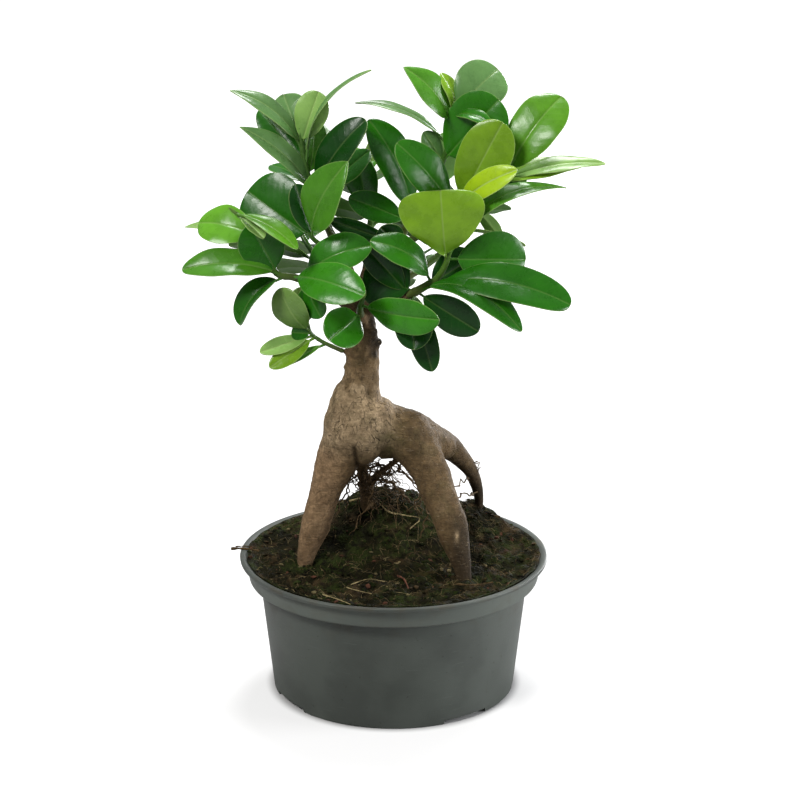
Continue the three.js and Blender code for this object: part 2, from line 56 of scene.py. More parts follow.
# Pot, in millimetres: the outside and inside profile as radius, height and rounding of the corner.
POT_OUTSIDE = [
    (0, 2.5, 0), (57.0, 2.5, 0.3), (57.6, 0, 0.3), (59, 0, 0.5), (65.2, 55, 0.5), (70.4, 55.6, 1.2),
    (71.6, 64.4, 0.6), (74.6, 65, 0.5), (75, 66.9, 0.9), (72.9, 67, 0.8),
]
POT_INSIDE = [(70.4, 65.7, 1.5), (69.1, 56.9, 0.8), (63.9, 55.6, 1.0), (57.7, 4, 1.5), (0, 4, 0)]
POT_SIDES = 180
NOTCH_TOP = 2
NOTCH_ARC = 24
NOTCH_ANGLES = (-59, 36, 90, 150, 212)
NOTCH_REACH = (51, 63)
DRAIN_HOLES = 5
DRAIN_RADIUS = 4
DRAIN_CIRCLE = 36

# Soil, in millimetres: level, height of its waves, and each hill's place, height and spread.
SOIL_LEVEL = 64
SOIL_WAVES = 1.1
SOIL_HILLS = ((-6, 30, 25, 33, 25), (38, 44, 10, 20, 16))
# The radii between which the soil rises to its edge and then laps over the lip of the pot.
SOIL_EDGE = (62.0, 67.5)
SOIL_EDGE_RISE = 0.8
SOIL_LAP = (66.0, 71.0)
SOIL_LAP_TOP = 66.9
SOIL_REACH = 71.4
SOIL_RAGGEDNESS = 0.9
# The soil inside the pot, from its top edge down, as radius and height.
SOIL_WALL = ((68.9, 57.2), (63.8, 55.9), (57, 4.4))
SOIL_SIDES = 300
SOIL_RINGS = 90

# Roots and trunk, in millimetres: centre points from the top down, with the radius at each.
LIMBS = {
    "body": (
        ((-11, 3, 116), 8), ((-13.5, 2, 120), 14), ((-16, 1, 129), 18), ((-16.5, 0, 138), 17.2),
        ((-17.5, 0, 145), 12.8), ((-15.8, 0, 151), 9.3), ((-15.2, 0, 159), 8), ((-14.8, 0, 169), 7.5),
        ((-15.4, 0.5, 180), 7.2), ((-16.2, 2, 191), 6.2), ((-16.8, 3, 199), 4.4),
    ),
    "left_leg": (
        ((-19, 1, 130), 13.2), ((-26.6, 0, 115), 10.6), ((-31.8, -2, 102), 7.9), ((-35, -4, 92), 7),
        ((-38, -6, 82), 7.1), ((-41.3, -7, 72), 4.8), ((-43.2, -8, 63), 3.5), ((-45.5, -9, 48), 3),
    ),
    "right_leg": (
        ((4, 1, 130), 13), ((12.5, -3, 118.5), 10.4), ((17.6, -7, 110.5), 8.9), ((20.7, -11, 103.5), 8.5),
        ((23.7, -16, 96.7), 7.9), ((26.7, -20, 90.6), 7.9), ((28.9, -23, 83), 7), ((31.1, -26, 76), 5.6),
        ((32.9, -28.5, 69), 4.1), ((34, -30, 60), 3.2), ((35, -31, 48), 2.2),
    ),
    "rear_root": (
        ((-5, 3, 128), 14), ((9, 6, 125.5), 11.3), ((17, 12, 120.5), 9.2), ((26, 19, 115.3), 6.4),
        ((33.5, 26, 106), 4.6), ((38.4, 32, 97.7), 3.4), ((41.8, 40, 86.3), 2.8), ((43, 45, 78), 2.3),
        ((42.5, 46, 68), 2), ((41, 44, 56), 1.6),
    ),
    "shoulder": (
        ((4, 3, 127), 13), ((13, 4.5, 122.5), 10.2), ((20, 8.5, 119.3), 7.8), ((27, 15, 115.6), 5.5),
    ),
    "middle_root": (
        ((-14, 6, 120), 6), ((-15.5, 14, 106), 2.6), ((-14, 18, 96), 3.0), ((-13, 20, 86), 3.6),
        ((-13, 21, 76), 3), ((-13, 22, 60), 2),
    ),
    "side_root": (
        ((-13.5, 19, 93), 2.6), ((-9, 18.5, 99), 1.9), ((-4, 17, 104), 1.4), ((2, 13, 110), 1.4),
        ((8, 8, 117), 3),
    ),
    "cut_stub": (((-14, 0, 170), 4.5), ((-12, -4, 176), 3.8), ((-10, -6, 181), 3)),
    "nub_right": (((-12, -2, 172), 3.6), ((-8, -3, 173.6), 2.2), ((-5.6, -3, 174.4), 1.2)),
    "nub_left": (((-18, 0, 160), 3.4), ((-22, -1.5, 161), 2), ((-23.6, -2, 161.6), 1)),
}

# A limb thicker than this, in millimetres, gets more sides before the skin is made.
STOUT_LIMB = 5
SAMPLES_PER_POINT = 12
STOUT_SIDES = 28
THIN_SIDES = 16
SHOOT_SAMPLES = 24

# How the skin over the limbs is smoothed. First every stout part, where the second step of each round
# undoes the loss of volume, then the bands at two heights, given as level and spread in millimetres.
SKIN_SOFTENING = 7
FIRST_STEP = 0.60
EASING = ((60, -0.62, None), (40, 0.60, (131, 9)), (30, 0.60, (147, 6)))

# Depth of the fold between the left root leg and the belly, and what the bark stands out by, in
# millimetres.
FOLD_DEPTH = 1.3
BARK_LIFT = 0.12

# The wound on the right foot, in millimetres.
SCAR_CENTRE = (30, -29.5, 85.5)
SCAR_SPREAD = (0.9, 5, 2.5)

# What the pale bark's colour is multiplied by on the left root leg.
LEFT_LEG_TONE = (0.80, 0.70, 0.68)

# Loose threads of root, in millimetres: the points of each and its radius.
ROOT_THREADS = (
    ((
        (-14, 17, 104), (-4.2, 14, 107.3), (-0.3, 14, 107.8), (3.1, 13, 104.8), (9, 6, 102.2),
        (15, -4, 101),
    ), 0.5),
    (((-12, 18, 99), (-6.2, 16, 101.2), (-1.3, 15, 103.2), (2.1, 14, 104.8), (5, 12, 112)), 0.45),
    (((-13, 18, 98), (-5.2, 16, 98.6), (-1.8, 16, 96.1), (2.1, 17, 93.5), (8, 18, 86)), 0.75),
    (((-3, 12, 105), (-1.3, 13, 108.3), (0.2, 11, 114)), 0.35),
    (((26, -10, 104), (31.5, 5, 99), (35, 22, 97), (38, 34, 92)), 0.35),
    (((28, -13, 99), (34, 5, 95), (38, 22, 89), (42, 40, 84)), 0.4),
    (((38, 27, 104), (41, 27, 104), (42, 29, 101), (41.6, 31, 97.5)), 0.25),
    (((13, 8, 84), (10, 2, 90), (12, -2, 97), (17, -6, 103)), 0.35),
    (((14, 12, 82), (13, 4, 92), (15, -2, 100)), 0.3),
    (((-28, 6, 84), (-25, 9, 92), (-21, 10, 103), (-19, 8, 112)), 0.4),
    (((-24, 12, 84), (-21, 12, 96), (-18, 10, 108)), 0.35),
)
THREAD_STEPS = 26
THREAD_SIDES = 6
THREAD_WANDER = 3.0

# Root hairs, in millimetres: the box that one starts in, for the quarter that hangs down to the soil
# and for the others, which cross the arch, and the radius.
HANGING_BOX = ((-21, 9), (7, 16), (105, 113))
CROSSING_BOX = ((-22, -6), (10, 20), (92, 110))
HAIR_RADIUS = (0.13, 0.34)

# Twigs and fibres that lie on the soil and the rim, in millimetres: points, radius and colour name.
LOOSE_BITS = (
    ((
        (-22, 24.5, 84.5), (-14, 21, 87.2), (-7.8, 18.1, 86.2), (-2.8, 15.4, 82.2), (5, 15.6, 80.2),
        (13, 15.3, 78.6), (8, 9.5, 75.4),
    ), 0.5, "straw"),
    (((-33, -53, 65.6), (-26, -62, 66.9), (-19.8, -69.7, 67.5)), 0.28, "straw"),
    (((-79.4, 1.6, 67.9), (-74.3, 3, 67.5), (-66, 4, 66)), 0.7, "husk"),
    (((-77.5, 5, 67.7), (-73, 5.5, 67.8), (-67, 8, 66)), 0.35, "husk"),
    (((-20, -40, 65.5), (-12, -36, 66.6), (-4, -38, 66.2)), 0.2, "straw"),
    (((-22, -44, 65.6), (-18, -49, 66.3), (-10, -52, 65.5)), 0.22, "straw"),
    (((2, -30, 66), (5, -37, 67), (7, -46, 66)), 0.5, "reddish"),
    (((30, -40, 65.6), (38, -42, 66.0), (47, -38, 65.8)), 0.5, "husk"),
)

BIT_BRIGHTNESS = 1.5
BIT_STEPS = 18

# Crumbs on the soil: colour name, how far the soil's own texture is hidden, and how common they are.
CRUMBS = (
    ("peat", 0.0, 11), ("husk", 0.55, 5), ("moss", 0.6, 5), ("reddish", 0.7, 1), ("straw", 0.45, 1),
)

# Crumbs and fibres, in millimetres: how far out they lie, the crumbs' least size and what is added to
# the largest, and the range of a fibre's length, radius, height over the soil and turn at each step.
LITTER_REACH = 70.5
CRUMB_SIZE = 0.35
CRUMB_GROWTH = 1.25
FIBRE_LENGTH = (2, 9)
FIBRE_RADIUS = (0.06, 0.14)
FIBRE_LIFT = (0.1, 1.1)
FIBRE_TURN = (-0.35, 0.35)
FIBRE_STEPS = 7

# Shoots, in millimetres: the wood's points from the trunk on, the green twig's points, and the radii
# at the trunk, where the wood ends and at the tip. A leaf's row is its place along the twig from 0 to
# 1, its tip, width, roll, arch, fold and tone, and its outline where that isn't oval.
FRONT = (0, -1, 0)
BACK = (0, 0.5, 0.85)
SHOOTS = {
    "shoot_left": {
        "faces": FRONT,
        "wood": ((-17, 0, 189), (-27, -6, 197), (-38, -11, 204)),
        "twig": ((-46, -14, 208), (-54, -15, 210), (-58, -14, 219), (-62, -14, 230), (-72, -20, 239.6)),
        "radii": (3.6, 2, 0.9),
        "leaves": (
            (0.31, (-97.5, -20, 213), 17, 52, 0.15, 14, "fresh"),
            (0.30, (-71.5, -19, 186.5), 17, 60, 0.18, 24, "deep"),
            (0.22, (-13, -42, 206.5), 20.5, -38, 0.12, 8, "bright"),
            (0.38, (-66, -18, 234.4), 22, 10, 0.02, 8, "deep"),
            (0.72, (-90.5, -4, 231.5), 21, 40, 0.16, 8, "spring"),
            (0.78, (-98, 8, 227), 11, 80, 0.06, 10, "pale"),
            (1.00, (-43.5, -34, 226), 12, -66, 0.10, 14, "spring"),
            (0.98, (-59, -30, 230), 9, -60, 0.02, 24, "pale"),
            (0.50, (-80, 8, 214.5), 14, 75, 0.02, 8, "pale"),
            (0.10, (-10, -22, 225), 20, -40, 0.21, 12, "mid"),
            (0.06, (-42, -12, 186), 10, 0, 0.04, 8, "deep"),
            (0.07, (-33.5, -18, 189.5), 14, 30, 0.05, 8, "deep"),
        ),
    },
    "shoot_upper_left": {
        "faces": FRONT,
        "wood": ((-16.5, 2, 193), (-21, 4, 206), (-28, 3, 222)),
        "twig": ((-34, 1, 236), (-39, -2, 251), (-42, -3, 266), (-43, -3, 276)),
        "radii": (3.4, 2, 1),
        "leaves": (
            (0.38, (-70, -14, 278.5), 14.5, 58, 0.12, 14, "grey", "lance"),
            (0.46, (-57.5, 18, 254.6), 14, 70, 0.06, 8, "deep"),
            (0.36, (-12.5, -10, 281), 20, -44, 0.12, 12, "black"),
            (0.52, (-36, 6, 279), 13, 30, 0.03, 12, "fresh"),
            (0.76, (-74.5, -6, 294), 14, 64, 0.15, 8, "grey", "lance"),
            (0.84, (-51, 12, 289), 18, 0, 0.05, 8, "grey"),
            (0.80, (-34, -4, 293), 16, -15, 0.05, 8, "pale", "round"),
            (0.62, (-10, -10, 304), 8, -82, 0.165, 12, "grey", "lance"),
            (0.60, (-62.5, 14, 281.5), 14, 20, 0.04, 8, "deep"),
            (0.34, (-11, 10, 263), 16, -50, 0.04, 8, "deep"),
            (0.46, (-50, 28, 266), 17, 150, -0.06, 8, "deep"),
            (0.66, (-31, 26, 270), 17, 200, -0.06, 8, "mid"),
        ),
    },
    "shoot_centre_left": {
        "faces": FRONT,
        "wood": ((-20, 1, 203), (-25, -4, 213)),
        "twig": ((-31, -9, 220), (-38, -12, 227), (-42, -12, 236)),
        "radii": (2.4, 1.5, 0.9),
        "leaves": (
            (0.62, (-68, 4, 245), 34, 6, 0.04, 6, "deep", "round"),
            (0.66, (-20.5, -32, 266), 24, -42, 0.12, 10, "fresh", "lance"),
            (0.60, (-45, -14, 252), 13, 20, 0.04, 8, "black"),
        ),
    },
    "shoot_top": {
        "faces": FRONT,
        "wood": ((-15, 4, 194), (-9, 8, 206), (0, 10, 217)),
        "twig": ((7, 10, 228), (14, 9, 240), (21, 7, 254), (26, 6, 268), (28, 5, 281)),
        "radii": (3.6, 2.2, 1),
        "leaves": (
            (0.25, (-11.5, 2, 279), 21, 38, 0.14, 8, "deep"),
            (0.22, (-21, 4, 242), 14, 20, 0.06, 10, "deep"),
            (0.92, (4.8, -2, 304), 18, 50, 0.13, 8, "fresh", "lance"),
            (0.98, (22, 9, 299.5), 12, 60, 0.14, 8, "light"),
            (1.00, (48.5, 14, 300.4), 25, -20, 0.12, 8, "grey", "round"),
            (0.66, (48.5, -2, 289), 29, -15, 0.05, 8, "mid", "round"),
            (0.97, (45, -10, 278.5), 8, -60, 0.20, 10, "mid"),
            (0.78, (-17.5, 0, 287.3), 11, 80, 0.13, 8, "grey", "lance"),
            (0.66, (14, 4, 273), 10, 30, 0.05, 8, "grey"),
            (0.80, (42, 36, 284), 18, 200, -0.06, 8, "mid"),
            (0.45, (29, 36, 266), 18, 190, -0.05, 8, "deep"),
            (0.04, (-30, 14, 229), 9, 0, 0.04, 8, "black"),
        ),
    },
    "shoot_upper_right": {
        "faces": FRONT,
        "wood": ((-8, 8, 207), (3, 3, 217)),
        "twig": ((14, 0, 227), (25, -3, 235), (35, -6, 242), (45, -6, 248), (54, -4, 254)),
        "radii": (2.8, 2, 1),
        "leaves": (
            (0.46, (1.5, -15, 271.2), 20, 35, 0.10, 8, "mid"),
            (0.50, (50, -14, 280.5), 25, -15, 0.05, 6, "light", "round"),
            (0.50, (56, -28, 261.5), 13, -40, 0.14, 10, "lime"),
            (0.96, (77.5, 2, 289.8), 24, -30, 0.15, 6, "spring", "round"),
            (0.80, (62, 2, 255), 12, -30, 0.04, 8, "black"),
            (0.92, (98, -6, 260), 13, -68, 0.08, 10, "pale", "lance"),
            (0.86, (88, 0, 257.5), 15, -62, 0.10, 10, "light", "lance"),
            (0.86, (68, 28, 268), 17, 200, -0.06, 8, "mid"),
            (0.02, (-6, -6, 230), 14, 0, 0.04, 8, "black"),
        ),
    },
    "shoot_right": {
        "faces": FRONT,
        "wood": ((-13, -2, 190), (-3, -8, 194), (7, -12, 199)),
        "twig": ((14, -15, 203.5), (20, -17, 208), (24, -19, 215), (26, -20, 222)),
        "radii": (3.4, 2.2, 1.1),
        "leaves": (
            (0.80, (21.5, -25, 251.5), 40, -4, 0.10, 8, "light", "wedge"),
            (0.86, (61.5, -10, 215.5), 27, -12, 0.08, 8, "mid"),
            (0.34, (81, -36, 200.5), 22, -52, 0.15, 8, "deep", "round"),
            (0.14, (58.5, -40, 189), 17, -62, 0.24, 8, "deep"),
            (0.12, (40, -14, 182), 17, 0, 0.04, 8, "black"),
            (0.40, (-10.5, -24, 227.5), 18, 54, 0.2, 8, "mid"),
            (0.10, (-13, -9, 211), 29, 15, 0.05, 8, "black"),
            (0.95, (80, -8, 249), 13, -66, 0.22, 10, "fresh", "lance"),
            (0.04, (18.3, -22, 164.8), 14, 10, 0.03, 8, "black"),
            (0.08, (9.5, -28, 177), 18, 0, 0.04, 8, "black"),
            (0.30, (38, -6, 216), 20, 0, 0.04, 8, "black"),
            (0.02, (-14, -15, 224), 14, 10, 0.04, 8, "black"),
        ),
    },
    "shoot_front": {
        "faces": FRONT,
        "wood": ((-14, -3, 184), (-15.5, -8, 188.5)),
        "twig": ((-15.5, -11.5, 193), (-14, -14, 198)),
        "radii": (2.6, 2, 1),
        "leaves": (
            (0.60, (21, -42, 195.2), 18.5, 10, 0.06, 8, "bright"),
            (0.10, (-29.5, -32, 182.5), 20, 20, 0.10, 8, "mid", "round"),
        ),
    },
    "shoot_low_left": {
        "faces": FRONT,
        "wood": ((-18, 0, 167), (-24, -3, 169.5)),
        "twig": ((-28.5, -5, 172), (-35, -7, 176), (-39, -8.5, 180), (-40, -9, 183.5)),
        "radii": (1.5, 1.1, 0.8),
        "leaves": (
            (0.80, (-52.5, -14, 203), 18, -25, 0.15, 6, "olive"),
            (1.00, (-44, -11, 202.5), 13, 0, 0.04, 8, "olive"),
            (0.72, (-48, -10, 180.5), 9, 10, 0.04, 8, "deep"),
            (0.66, (-62.5, -16, 172.4), 9, 40, 0.02, 10, "pale"),
            (0.60, (-58, -18, 165.5), 9.5, 20, 0.04, 10, "light"),
            (0.38, (-52.5, -13, 165), 5, 40, 0.04, 10, "fresh"),
        ),
    },
    "shoot_back_left": {
        "faces": BACK,
        "wood": ((-18, 5, 190), (-26, 13, 197)),
        "twig": ((-34, 22, 205), (-42, 31, 214), (-48, 38, 224)),
        "radii": (3.2, 2, 1),
        "leaves": (
            (0.40, (-80, 36, 212), 19, 10, 0.07, 8, "deep"),
            (0.75, (-66, 62, 222), 18, 0, 0.08, 8, "mid"),
            (0.68, (-34, 60, 215), 15, 0, 0.08, 8, "bright"),
            (0.55, (-44, 68, 200), 19, 10, 0.10, 8, "deep"),
            (0.90, (-36, 66, 232), 17, -10, 0.06, 8, "fresh"),
            (1.00, (-58, 46, 241), 15, 20, 0.05, 8, "light"),
            (0.15, (-38, 50, 187), 17, 0, 0.08, 8, "deep"),
            (0.20, (-61, 38, 199), 17, 10, 0.08, 8, "deep"),
        ),
    },
    "shoot_back": {
        "faces": BACK,
        "wood": ((-15, 7, 196), (-13, 15, 205)),
        "twig": ((-11.5, 24, 215), (-11, 32, 226), (-12, 38, 238), (-13, 42, 250)),
        "radii": (3, 2, 1),
        "leaves": (
            (0.75, (-34, 50, 250), 17, 20, 0.06, 8, "mid"),
            (0.90, (-20, 66, 254), 18, 0, 0.08, 8, "fresh"),
            (0.85, (4, 60, 245), 16, -20, 0.06, 8, "mid"),
            (0.50, (-17, 32, 258), 18, 170, 0.04, 8, "deep"),
            (0.50, (-35, 44, 229.5), 18, 20, 0.06, 8, "deep"),
            (0.40, (2, 60, 221.5), 14, 0, 0.08, 8, "deep"),
            (0.45, (10, 70, 219), 19, 0, 0.10, 8, "mid"),
            (0.60, (-40, 60, 240), 17, 10, 0.08, 8, "bright"),
            (1.00, (-5, 44, 263), 14, 0, 0.05, 8, "light"),
        ),
    },
    "shoot_back_right": {
        "faces": BACK,
        "wood": ((-13, 5, 191), (-4, 12, 196), (6, 18, 200)),
        "twig": ((16, 24, 205), (26, 30, 212), (34, 34, 221), (40, 37, 231)),
        "radii": (3.2, 2, 1),
        "leaves": (
            (0.35, (58, 44, 197), 19, -10, 0.08, 8, "deep"),
            (0.30, (46, 68, 189), 18, 0, 0.10, 8, "mid"),
            (0.55, (27, 70, 209), 19, 10, 0.10, 8, "bright"),
            (0.80, (52, 62, 231), 18, 0, 0.08, 8, "fresh"),
            (1.00, (39, 46, 252), 16, 0, 0.05, 8, "light"),
            (0.95, (58, 38, 246), 16, -20, 0.06, 8, "mid"),
            (0.90, (16, 54, 240), 16, 20, 0.06, 8, "mid"),
            (0.45, (-2, 46, 222.5), 18, 20, 0.06, 8, "deep"),
            (0.74, (64, 34, 212), 8, 0, 0.04, 8, "pale"),
            (0.98, (52, 36, 215), 8, -40, 0.04, 16, "pale"),
            (0.90, (57, 40, 229), 14, 0, 0.05, 8, "deep"),
        ),
    },
    "shoot_back_low": {
        "faces": BACK,
        "wood": ((-14, 7, 182), (-9, 14, 186)),
        "twig": ((-3, 22, 190), (4, 30, 195), (9, 38, 201)),
        "radii": (2.6, 1.8, 1),
        "leaves": (
            (0.60, (2, 66, 182), 18, 0, 0.10, 8, "mid"),
            (0.90, (17, 68, 197), 17, -10, 0.08, 8, "bright"),
            (0.30, (-24, 60, 184), 18, 10, 0.10, 8, "deep"),
            (1.00, (21, 50, 208), 14, 0, 0.06, 8, "fresh"),
            (0.15, (-16, 46, 172), 16, 0, 0.10, 8, "deep"),
            (0.20, (12, 46, 176), 15, 0, 0.10, 8, "deep"),
        ),
    },
}
PETIOLE_SHARE = 0.12
BASE_AND_TIP_TAPER = {"oval": (0.7, 0.55), "round": (0.65, 0.45), "lance": (0.7, 0.85), "wedge": (0.9, 0.3)}
LEAF_ROWS = 24
LEAF_COLUMNS = (-1, -0.9, -0.7, -0.45, -0.22, -0.06, 0, 0.06, 0.22, 0.45, 0.7, 0.9, 1)
LEAST_HALF_WIDTH = 0.25
FULL_TURN = 6.28
# The rims' number of waves, their height as a share of the width, and the droop of the tip.
RIM_WAVES = (1.6, 3.0)
RIM_RIPPLE = (0.012, 0.026)
TIP_DROOP = (-0.02, 0.03)
GROOVE_DEPTH = 0.35
GROOVE_WIDTH = 0.6
PETIOLE_STEPS = 9
PETIOLE_SIDES = 8
PETIOLE_OVERLAP = 0.16
PETIOLE_GREEN = (0.11, 0.18, 0.04)
TWIG_STEPS = 28
TWIG_SIDES = 12
TWIG_WOOD = (0.075, 0.052, 0.024)
TWIG_GREEN = (0.055, 0.085, 0.020)
BUD_LENGTH = 5
BUD_STEPS = 8
BUD_SIDES = 8
BUD_GREEN = (0.15, 0.24, 0.06, 1)
# What points of twigs, petioles and buds carry where a blade's points have their place on the blade.
OFF_BLADE = (9, 0, 9)

# What the textures multiply a colour by, in their dark parts and in their light ones.
BARK_MOTTLE = ((0.76, 0.73, 0.69), (1.18, 1.17, 1.15))
BARK_GRAIN = ((0.74, 0.72, 0.68), (1.22, 1.21, 1.20))
LEAF_MOTTLE = ((0.86, 0.88, 0.84), (1.12, 1.10, 1.07))
# Painted shade: what the peat's colour is multiplied by in the hollows between its lumps.
PEAT_HOLLOW_SHADE = (0.30, 0.30, 0.30)

# Stage: the floor in millimetres, then metres, with its glow fading in beyond the pot, and greys.
FLOOR_HALF = 9000
FLOOR_DROP = 0.0002
POT_SHADE = (0.064, 0.058)
GLOW_FADE = (0.25, 1.5)
GLOW_NEAR, GLOW_FAR = 0.50, 0.93
PAPER_DARK, PAPER_LIGHT = 0.41, 0.44
BOUNCE = 0.34
WORLD_LIGHT = (0.97, 0.98, 1.0, 1)
WORLD_STRENGTH = 0.34

# Lamps: place, width in metres, power in watts and colour. All of them aim at one point.
LAMPS = {
    "key": ((-0.80, -0.95, 1.30), 0.5, 26, (1.0, 0.985, 0.96)),
    "overhead": ((0.10, 0.65, 1.55), 0.6, 26, (1.0, 1.0, 1.0)),
    "right": ((1.30, -0.15, 0.35), 0.7, 20, (0.97, 0.98, 1.0)),
    "rear": ((0.75, 1.35, 0.22), 0.8, 28, (0.97, 0.98, 1.0)),
}
LAMP_AIM = (0, 0, 0.15)

# Camera: lens and sensor in millimetres, place in metres, and its tilt up from straight down.
LENS = 103.5
SENSOR = 36
CAMERA_PLACE = (0.0031, -1.05305, 0.4622)
CAMERA_TILT = 73.2
CAMERA_REACH = 50


def colour_property(name, description, value):
    return FloatVectorProperty(
        name=name, description=description, default=value, size=3, min=0, max=1, subtype="COLOR"
    )


class BonsaiSizes(bpy.types.PropertyGroup):
    """Sizes and amounts that a user of the model may want to change."""

    blade_thickness: FloatProperty(
        name="Blade thickness", description="Thickness of a leaf blade",
        default=0.0006, min=0.0002, max=0.002, unit="LENGTH", subtype="DISTANCE",
    )
    bark_grain: FloatProperty(
        name="Bark grain", description="Size of the cells that the trunk's surface is made of",
        default=0.0007, min=0.0004, max=0.003, unit="LENGTH", subtype="DISTANCE",
    )
    bark_relief: FloatProperty(
        name="Bark relief", description="Height of the bumps in the bark",
        default=0.0007, min=0, max=0.003, unit="LENGTH", subtype="DISTANCE",
    )
    soil_relief: FloatProperty(
        name="Soil relief", description="Height of the lumps in the soil's surface",
        default=0.0013, min=0, max=0.005, unit="LENGTH", subtype="DISTANCE",
    )
    crumbs: IntProperty(
        name="Crumbs", description="Number of loose crumbs on the soil", default=1500, min=0, max=2000,
    )
    fibres: IntProperty(
        name="Fibres", description="Number of fine fibres on the soil", default=1100, min=0, max=1200,
    )
    root_hairs: IntProperty(
        name="Root hairs", description="Number of fine roots under the trunk", default=56, min=0, max=300,
    )


class BonsaiColours(bpy.types.PropertyGroup):
    """Colours of the pot, the soil, the bark and the leaves' tones."""

    pot: colour_property("Pot", "Moulded plastic of the pot", (0.054, 0.062, 0.054))
    peat: colour_property("Peat", "Moist peat", (0.0105, 0.0095, 0.0030))
    husk: colour_property("Husk", "Brown crumbs and bits of husk", (0.060, 0.039, 0.018))
    moss: colour_property("Moss", "Green film and moss on the soil", (0.021, 0.030, 0.006))
    straw: colour_property("Straw", "Pale fibres and fine roots on the soil", (0.25, 0.20, 0.10))
    reddish: colour_property("Reddish bits", "Reddish bits in the soil", (0.10, 0.042, 0.026))
    bark_pale: colour_property("Pale bark", "Bark of the swollen body", (0.275, 0.205, 0.125))
    bark_tan: colour_property("Tan bark", "Bark of the root legs", (0.175, 0.115, 0.056))
    bark_dark: colour_property("Dark bark", "Bark in folds and on the old wood", (0.048, 0.031, 0.013))
    bark_green: colour_property("Green bark", "Algae on the bark under the body", (0.040, 0.036, 0.010))
    black: colour_property("Darkest leaves", "Old leaves deep inside", (0.003, 0.038, 0.002))
    deep: colour_property("Deep green leaves", "Grown leaves in the shade", (0.012, 0.100, 0.002))
    mid: colour_property("Mid green leaves", "Grown leaves", (0.018, 0.125, 0.003))
    bright: colour_property("Bright green leaves", "Grown leaves at their best", (0.026, 0.165, 0.004))
    fresh: colour_property("Fresh green leaves", "Leaves of this season", (0.050, 0.180, 0.010))
    spring: colour_property("Spring green leaves", "Leaves that have just grown out", (0.080, 0.240, 0.012))
    light: colour_property("Light green leaves", "Young leaves", (0.145, 0.285, 0.012))
    lime: colour_property("Lime leaves", "The youngest leaves", (0.290, 0.450, 0.010))
    # Partly painted sheen: the pale and grey-green tones also stand for the silvery sheen that some leaves
    # reflect, and the pale tone lightens leaves that lie in shade.
    pale: colour_property("Pale leaves", "Leaves that show a pale side", (0.190, 0.340, 0.085))
    grey: colour_property("Grey-green leaves", "Leaves with a dull bloom", (0.085, 0.185, 0.055))
    olive: colour_property("Olive leaves", "Undersides of old leaves", (0.120, 0.215, 0.050))
    rib: colour_property("Midribs and rims", "Midribs and thin rims of the leaves", (0.32, 0.44, 0.15))


class Value:
    """One output of a node. A sum or product of it adds a Math node to its tree."""

    def __init__(self, finish, socket):
        self.finish = finish
        self.socket = socket

    def combine(self, operation, *terms):
        return self.finish.node("ShaderNodeMath", {"operation": operation}, dict(enumerate(terms)))

    def __add__(self, other):
        return self.combine("ADD", self, other)

    def __sub__(self, other):
        return self.combine("SUBTRACT", self, other)

    def __rsub__(self, other):
        return self.combine("SUBTRACT", other, self)

    def __mul__(self, other):
        return self.combine("MULTIPLY", self, other)

    def __truediv__(self, other):
        return self.combine("DIVIDE", self, other)

    def __pow__(self, other):
        return self.combine("POWER", self, other)

    def __abs__(self):
        return self.combine("ABSOLUTE", self)

    __radd__ = __add__
    __rmul__ = __mul__


class Finish:
    """A procedural material under construction."""

    def __init__(self, name):
        self.material = bpy.data.materials.new(name)
        self.material.use_nodes = True
        self.tree = self.material.node_tree
        self.tree.nodes.clear()

    def node(self, kind, settings=None, values=None, output=0):
        """Adds a node, sets it, fills or links its sockets and gives one of its outputs."""
        node = self.tree.nodes.new(kind)
        for name, value in (settings or {}).items():
            setattr(node, name, value)
        for socket, value in (values or {}).items():
            if isinstance(value, Value):
                self.tree.links.new(value.socket, node.inputs[socket])
            else:
                node.inputs[socket].default_value = value
        return Value(self, node.outputs[output])

    def place(self, stretch=(1, 1, 1)):
        """The place in the object, in metres, with each axis scaled."""
        place = self.node("ShaderNodeTexCoord", output="Object")
        return self.node("ShaderNodeMapping", values={"Vector": place, "Scale": stretch})

    def noise(self, scale, detail=3, rough=0.5, place=None):
        values = {"Vector": place or self.place(), "Scale": scale, "Detail": detail, "Roughness": rough}
        return self.node("ShaderNodeTexNoise", values=values)

    def cells(self, scale, feature="F1", place=None, output="Distance"):
        values = {"Vector": place or self.place(), "Scale": scale}
        return self.node("ShaderNodeTexVoronoi", {"feature": feature}, values, output)

    def step(self, value, low, high):
        """Rises smoothly from 0 at low to 1 at high, or falls where high lies below low."""
        values = {"Value": value, "From Min": low, "From Max": high}
        return self.node("ShaderNodeMapRange", {"interpolation_type": "SMOOTHSTEP"}, values)

    def mix(self, factor, first, second, blend="MIX"):
        settings = {"data_type": "RGBA", "blend_type": blend}
        return self.node("ShaderNodeMix", settings, {0: factor, 6: first, 7: second}, 2)

    def read(self, layer, output="Color"):
        return self.node("ShaderNodeAttribute", {"attribute_name": layer}, output=output)

    def parts(self, vector):
        split = self.node("ShaderNodeSeparateXYZ", values={"Vector": vector})
        return [Value(self, socket) for socket in split.socket.node.outputs]

    def mottled(self, base, pattern, low, high, factors):
        """The base colour times one factor where the pattern is low and another where it is high."""
        dark, light = factors
        factor = self.mix(self.step(pattern, low, high), rgba(dark), rgba(light))
        return self.mix(1.0, base, factor, "MULTIPLY")

    def bump(self, height, distance, strength=1.0):
        values = {"Height": height, "Distance": distance, "Strength": strength}
        return self.node("ShaderNodeBump", values=values)

    def surface(self, sockets):
        """Ends the tree in a Principled shader and gives the finished material."""
        return self.close(self.node("ShaderNodeBsdfPrincipled", values=sockets))

    def close(self, shader):
        output = self.tree.nodes.new("ShaderNodeOutputMaterial")
        self.tree.links.new(shader.socket, output.inputs["Surface"])
        return self.material


def rgba(colour, factor=1):
    return (*(c * factor for c in colour[:3]), 1.0)


def grey(level):
    return rgba((level, level, level))


